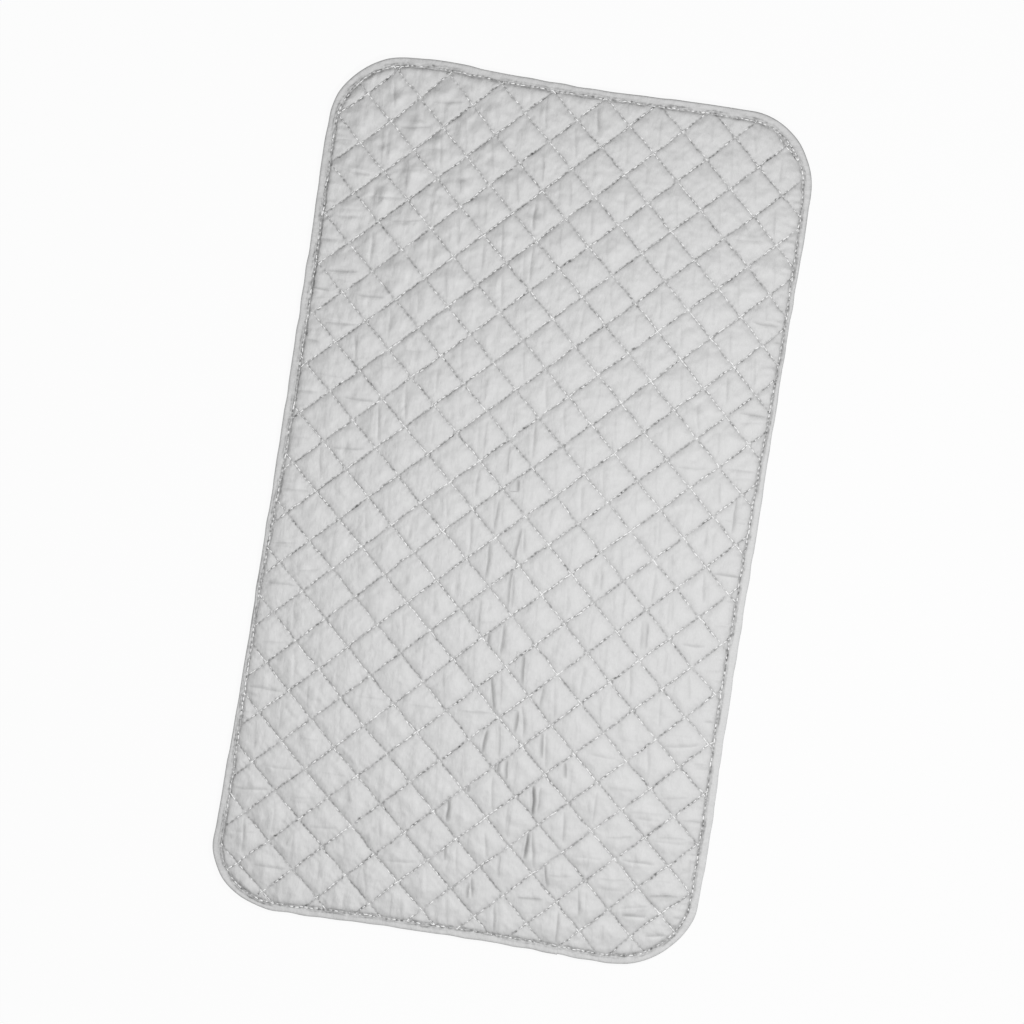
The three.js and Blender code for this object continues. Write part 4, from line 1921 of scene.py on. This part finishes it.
class StitchTree(NodeGarden):
    """Geometry nodes that lay one thread stitch on each point of a path."""

    ALONG = "thread_along"
    AROUND = "thread_around"
    SIZES = ("Stitch length", "Thread width", "Arch", "Unevenness")
    CROWN = 1.6
    STEPS = 4
    SIDES = 6
    END_SHARE = 0.55

    def __init__(self, name: str) -> None:
        """Builds the tree."""
        super().__init__(bpy.data.node_groups.new(name, "GeometryNodeTree"))
        face = self.tree.interface
        face.new_socket("Geometry", in_out="INPUT", socket_type="NodeSocketGeometry")
        for size in self.SIZES:
            face.new_socket(size, in_out="INPUT", socket_type="NodeSocketFloat")
        face.new_socket("Seed", in_out="INPUT", socket_type="NodeSocketInt")
        face.new_socket("Thread", in_out="INPUT", socket_type="NodeSocketMaterial")
        face.new_socket("Geometry", in_out="OUTPUT", socket_type="NodeSocketGeometry")
        given = self.node("NodeGroupInput").outputs
        length, width, arch, uneven = (Value(self, given[size]) for size in self.SIZES)
        stitch = self._stitch(length, width, arch)
        path = self.node("GeometryNodeMeshToCurve", None, {"Mesh": given["Geometry"]})
        tangent = self.node("GeometryNodeInputTangent")
        turn = self.node(
            "FunctionNodeAlignRotationToVector",
            {"axis": "X", "pivot_axis": "Z"},
            {"Vector": tangent.outputs[0]},
        )
        size = self.node(
            "FunctionNodeRandomValue",
            {"data_type": "FLOAT"},
            {"Min": 1.0 - uneven, "Max": 1.0 + uneven, "Seed": given["Seed"]},
        )
        laid = self.node(
            "GeometryNodeInstanceOnPoints",
            None,
            {
                "Points": path.outputs[0],
                "Instance": stitch,
                "Rotation": turn.outputs[0],
                "Scale": next(socket for socket in size.outputs if socket.enabled),
            },
        )
        real = self.node("GeometryNodeRealizeInstances", None, {"Geometry": laid.outputs[0]})
        smooth = self.node("GeometryNodeSetShadeSmooth", None, {"Geometry": real.outputs[0]})
        dressed = self.node(
            "GeometryNodeSetMaterial", None, {"Geometry": smooth.outputs[0], "Material": given["Thread"]}
        )
        self.node("NodeGroupOutput", None, {"Geometry": dressed.outputs[0]})

    def _stitch(self, length: Value, width: Value, arch: Value) -> bpy.types.NodeSocket:
        """Makes one arched stitch of round thread.

        Args:
            length: The stitch's length.
            width: The thread's width.
            arch: How far the stitch rises.

        Returns:
            The stitch's geometry.
        """
        low = -arch
        start = self.node("ShaderNodeCombineXYZ", None, {"X": length * -0.5, "Z": low})
        crown = self.node("ShaderNodeCombineXYZ", None, {"Z": arch * self.CROWN})
        end = self.node("ShaderNodeCombineXYZ", None, {"X": length * 0.5, "Z": low})
        line = self.node(
            "GeometryNodeCurveQuadraticBezier",
            None,
            {
                "Resolution": self.STEPS,
                "Start": start.outputs[0],
                "Middle": crown.outputs[0],
                "End": end.outputs[0],
            },
        )
        parameter = self.node("GeometryNodeSplineParameter")
        walked = Value(self, parameter.outputs["Length"])
        share = Value(self, parameter.outputs["Factor"])
        kept = self.node(
            "GeometryNodeStoreNamedAttribute",
            {"data_type": "FLOAT", "domain": "POINT"},
            {"Geometry": line.outputs[0], "Name": self.ALONG, "Value": walked},
        )
        radius = self.END_SHARE + (1 - self.END_SHARE) * (share * math.pi).math("SINE")
        thick = self.node("GeometryNodeSetCurveRadius", None, {"Curve": kept.outputs[0], "Radius": radius})
        circle = {"Resolution": self.SIDES, "Radius": width * 0.5}
        ring = self.node("GeometryNodeCurvePrimitiveCircle", None, circle)
        wound = self.node(
            "GeometryNodeStoreNamedAttribute",
            {"data_type": "FLOAT", "domain": "POINT"},
            {"Geometry": ring.outputs[0], "Name": self.AROUND, "Value": share},
        )
        swept = self.node(
            "GeometryNodeCurveToMesh",
            None,
            {"Curve": thick.outputs[0], "Profile Curve": wound.outputs[0], "Fill Caps": True},
        )
        return swept.outputs[0]


@dataclass(frozen=True)
class StitchKind:
    """One kind of stitch: the name of its run, its thread's width, and its arch, which is negative below."""

    name: str
    width: float
    arch: float


@dataclass
class StitchRun:
    """A run of stitches: the places of their middles, joined where the thread goes on."""

    kind: StitchKind
    points: Array
    joins: list[tuple[int, int]]
    length: float
    unevenness: float = 0.48
    seed: int = 1

    def build(self, tree: StitchTree, thread: bpy.types.Material) -> bpy.types.Object:
        """Lays the stitches and makes them one plain mesh.

        Args:
            tree: The stitch-laying nodes.
            thread: The thread's finish.

        Returns:
            The stitches.
        """
        path = bpy.data.meshes.new(self.kind.name + "_path")
        path.from_pydata(self.points.tolist(), self.joins, [])
        layer = link(bpy.data.objects.new(self.kind.name + "_path", path))
        modifier = layer.modifiers.new("Stitches", "NODES")
        modifier.node_group = tree.tree
        sizes = (self.length, self.kind.width, self.kind.arch, self.unevenness)
        chosen = {**dict(zip(tree.SIZES, sizes)), "Seed": self.seed, "Thread": thread}
        for item in tree.tree.interface.items_tree:
            if item.in_out == "INPUT" and item.name in chosen:
                modifier[item.identifier] = chosen[item.name]
        evaluated = layer.evaluated_get(bpy.context.evaluated_depsgraph_get())
        mesh = bpy.data.meshes.new_from_object(evaluated)
        mesh.name = self.kind.name
        layer.modifiers.remove(modifier)
        bpy.data.objects.remove(layer)
        return link(bpy.data.objects.new(self.kind.name, mesh))


@dataclass
class Stitching:
    """All the sewing: the quilting in diamonds and the binding's seam, on both faces."""

    plan: PadPlan
    backing: BackingCloth
    binding: EdgeBinding
    finish: ThreadFinish
    needle: StitchKind = StitchKind("quilting_needle_thread", 0.8 * MM, 0.4 * MM)
    bobbin: StitchKind = StitchKind("quilting_bobbin_thread", 0.5 * MM, -0.2 * MM)
    seam_needle: StitchKind = StitchKind("binding_needle_thread", 0.85 * MM, 0.4 * MM)
    seam_needle_raise: float = 0.12 * MM
    seam_bobbin: StitchKind = StitchKind("binding_bobbin_thread", 0.4 * MM, -0.1 * MM)
    seam_bobbin_height: float = 0.34 * MM
    gap: float = 2.2 * MM
    under_tape: float = 1.0 * MM
    lines_each_way: int = 20
    stitches_each_way: int = 150
    seed: int = 91
    untidy: float = 0.55 * MM
    sunk: float = 0.68 * MM
    sunk_range: float = 0.9
    sunk_noise: SmoothNoise = SmoothNoise(93, 14.0 * MM, 14.0 * MM)

    def build(self) -> list[bpy.types.Object]:
        tree = StitchTree("stitch_layer")
        thread = self.finish.material()
        pieces = []
        for face in Face:
            quilting = self._quilting(face).build(tree, thread)
            seam = self._seam(face).build(tree, thread)
            node = "seam_needle_thread" if face is Face.TOP else "seam_bobbin_thread"
            for piece in (quilting, seam):
                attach(piece, BODY)
            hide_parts(node)
            pieces += [quilting, seam]
        return pieces

    def _quilting(self, face: Face) -> StitchRun:
        """Sets out the quilting stitches of one face.

        Args:
            face: The face that they are on.

        Returns:
            The run of stitches.
        """
        lattice = self.plan.lattice
        lines = range(-self.lines_each_way, self.lines_each_way + 1)
        places = np.arange(-self.stitches_each_way, self.stitches_each_way)
        middles = (places + 0.5) / lattice.stitches_per_side
        points: list[Array] = []
        joins: list[tuple[int, int]] = []
        placed = 0
        for direction in Direction:
            for line in lines:
                fixed = np.full(len(middles), float(line))
                pair = (fixed, middles) if direction is Direction.RISING else (middles, fixed)
                row = lattice.place(*pair)
                row = row[self.plan.quilt_gap(row) > -self.under_tape]
                if len(row) > 1:
                    joins += [(placed + k, placed + k + 1) for k in range(len(row) - 1)]
                    placed += len(row)
                    points.append(row)
        flat = np.concatenate(points)
        if face is Face.TOP:
            kind, heights = self.needle, np.full(len(flat), self.plan.levels.stitch)
        else:
            kind, heights = self.bobbin, self.backing.lowest(flat)
        laid = self._placed(flat, heights, face)
        return StitchRun(kind, laid, joins, lattice.stitch_length() - self.gap)

    def _seam(self, face: Face) -> StitchRun:
        """Sets out the binding's stitches on one face.

        Args:
            face: The face that they are on.

        Returns:
            The run of stitches.
        """
        count = self.plan.seam_stitches()
        inset = self.plan.seam_inset
        length = self.plan.outline.perimeter(inset) / count
        walked = self.binding.lap_end - self.binding.lap + length * (np.arange(count) + 0.5)
        edge, outwards = self.plan.outline.walk(walked, inset)
        if face is Face.TOP:
            flat = edge - self.plan.seam(edge)[:, None] * outwards
            heights = self.binding.seam_level() + self.binding.lifted(walked) + self.seam_needle_raise
            kind = self.seam_needle
        else:
            flat = edge - inset * outwards
            heights = np.full(count, self.seam_bobbin_height)
            kind = self.seam_bobbin
        laid = self._placed(flat, heights, face)
        joins = [(k, (k + 1) % count) for k in range(count)]
        return StitchRun(kind, laid, joins, length - self.gap, seed=2)

    def _placed(self, flat: Array, heights: Array, face: Face) -> Array:
        """Sets stitches a little off their places, some sunk into the cloth.

        Args:
            flat: The middles of the stitches in the straight layout.
            heights: The heights at which they would lie on the cloth.
            face: The face that they are on.

        Returns:
            Where the middles lie on the pad.
        """
        draw = np.random.default_rng(self.seed).uniform(-1, 1, (len(flat), 3))
        stretch = 1 + self.sunk_range * self.sunk_noise.over(flat)
        sink = self.sunk * np.abs(draw[:, 2]) * stretch * (face is Face.TOP)
        untidy = flat + self.untidy * draw[:, :2]
        return self.plan.drift().move(np.column_stack([untidy, heights - sink]))


@dataclass(frozen=True)
class FloorFinish:
    """A white floor that stays white to the camera, with a trace of the pad's soft shadow."""

    name: str = "white_floor"
    grey: float = 0.95
    white: float = 0.98
    glow: float = 0.96

    def material(self) -> bpy.types.Material:
        """Builds the floor's material and returns it."""
        shader = Shader(self.name)
        path = shader.node("ShaderNodeLightPath")
        ways = ("Is Camera Ray", "Is Glossy Ray", "Is Transmission Ray")
        seen = [Value(shader, path.outputs[way]) for way in ways]
        plain = shader.node("ShaderNodeBsdfDiffuse", None, {"Color": (self.grey,) * 3 + (1,)})
        lit = shader.node("ShaderNodeEmission", None, {"Color": (1, 1, 1, 1), "Strength": self.white})
        share = self.glow * strongest(seen)
        mixed = shader.node("ShaderNodeMixShader", None, {0: share, 1: plain.outputs[0], 2: lit.outputs[0]})
        shader.node("ShaderNodeOutputMaterial", None, {"Surface": mixed.outputs[0]})
        return shader.material


@dataclass
class Studio:
    """The white floor, the soft lamp over the pad's right side, the fill and the overhead camera."""

    photo_turn: float = math.radians(8.87)
    photo_span: float = 1.0106
    photo_centre: tuple[float, float] = (-2.0 * MM, -1.4 * MM)
    camera_height: float = 2.0
    lamp_place: tuple[float, float, float] = (0.3, -0.08, 0.62)
    lamp_radius: float = 0.1
    lamp_power: float = 26.3
    fill: float = 0.475
    floor_reach: float = 6.0

    def build(self) -> None:
        """Builds the studio."""
        bpy.context.scene.view_settings.view_transform = "Standard"
        self._floor()
        self._lamp()
        self._world()
        self._camera()

    def _floor(self) -> None:
        """Lays the floor."""
        reach = self.floor_reach
        points = np.array([(-reach, -reach, 0), (reach, -reach, 0), (reach, reach, 0), (-reach, reach, 0)])
        floor = MeshDraft(points, [(0, 1, 2, 3)]).to_object("floor", FloorFinish().material())

    def _lamp(self) -> None:
        """Hangs the soft lamp, whose light doesn't fade with distance."""
        lamp = bpy.data.lights.new("soft_lamp", "POINT")
        lamp.shadow_soft_size = self.lamp_radius
        lamp.energy = 1.0
        lamp.use_nodes = True
        garden = NodeGarden(lamp.node_tree)
        garden.tree.nodes.clear()
        even = garden.node("ShaderNodeLightFalloff", None, {"Strength": self.lamp_power})
        glow = garden.node("ShaderNodeEmission", None, {"Strength": even.outputs["Constant"]})
        garden.node("ShaderNodeOutputLight", None, {"Surface": glow.outputs[0]})
        hung = link(bpy.data.objects.new("soft_lamp", lamp))
        hung.location = self.lamp_place
        hung.visible_camera = False

    def _world(self) -> None:
        """Sets the even fill, with white behind the floor."""
        world = bpy.data.worlds.new("studio")
        world.use_nodes = True
        garden = NodeGarden(world.node_tree)
        garden.tree.nodes.clear()
        path = garden.node("ShaderNodeLightPath")
        seen = Value(garden, path.outputs["Is Camera Ray"])
        strength = self.fill + (1 - self.fill) * seen
        light = garden.node("ShaderNodeBackground", None, {"Color": (1, 1, 1, 1), "Strength": strength})
        garden.node("ShaderNodeOutputWorld", None, {"Surface": light.outputs[0]})
        bpy.context.scene.world = world

    def _camera(self) -> None:
        """Sets the camera straight above the pad, turned as in the photograph."""
        lens = bpy.data.cameras.new("overhead_camera")
        lens.type = "ORTHO"
        lens.ortho_scale = self.photo_span
        camera = link(bpy.data.objects.new("overhead_camera", lens))
        camera.location = (*self.photo_centre, self.camera_height)
        camera.rotation_euler = (0, 0, self.photo_turn)
        bpy.context.scene.camera = camera


def main() -> None:
    """Builds the studio and the pad, piece by piece."""
    logging.basicConfig(level=logging.INFO, format="%(name)s: %(message)s")
    plan = PadPlan()
    levels = plan.levels
    Studio().build()
    quilt_shade = QuiltShade(plan.lattice)
    seam_shade = SeamShade(EdgeBinding.lap_end - EdgeBinding.lap, plan.seam_stitch_length())
    cover = QuiltedCover(plan, WovenFinish("cover_cotton", 0.65, (quilt_shade, PleatShade())))
    backing = BackingCloth(plan, WovenFinish("backing_cotton", 0.6, (quilt_shade,)))
    tape_shades = (seam_shade, RimShade())
    tape = WovenFinish("binding_twill", 0.62, tape_shades, PatternSpace.TAPE, mottling=0.15)
    binding = EdgeBinding(plan, tape)
    felt = FibreFinish("needled_felt", 0.6, 0.4 * MM, 0.08)
    fluff = FibreFinish("polyester_wadding", 0.78, 0.6 * MM, 0.05)
    layers = [
        InnerLayer(plan, fluff, "wadding", "wadding", levels.wadding, "wadding_layer", True),
        InnerLayer(plan, FilmFinish(), "reflective_film", "film", levels.film, "film_layer", False),
        InnerLayer(plan, felt, "insulating_felt", "felt", levels.felt, "felt_layer", True),
    ]
    pieces = [cover.build(), backing.build(), binding.build()]
    pieces += [layer.build() for layer in layers]
    pieces += Stitching(plan, backing, binding, ThreadFinish()).build()
    for piece in pieces:
        LOG.info("%s: %d faces", piece.name, len(piece.data.polygons))


if __name__ == "__main__":
    main()
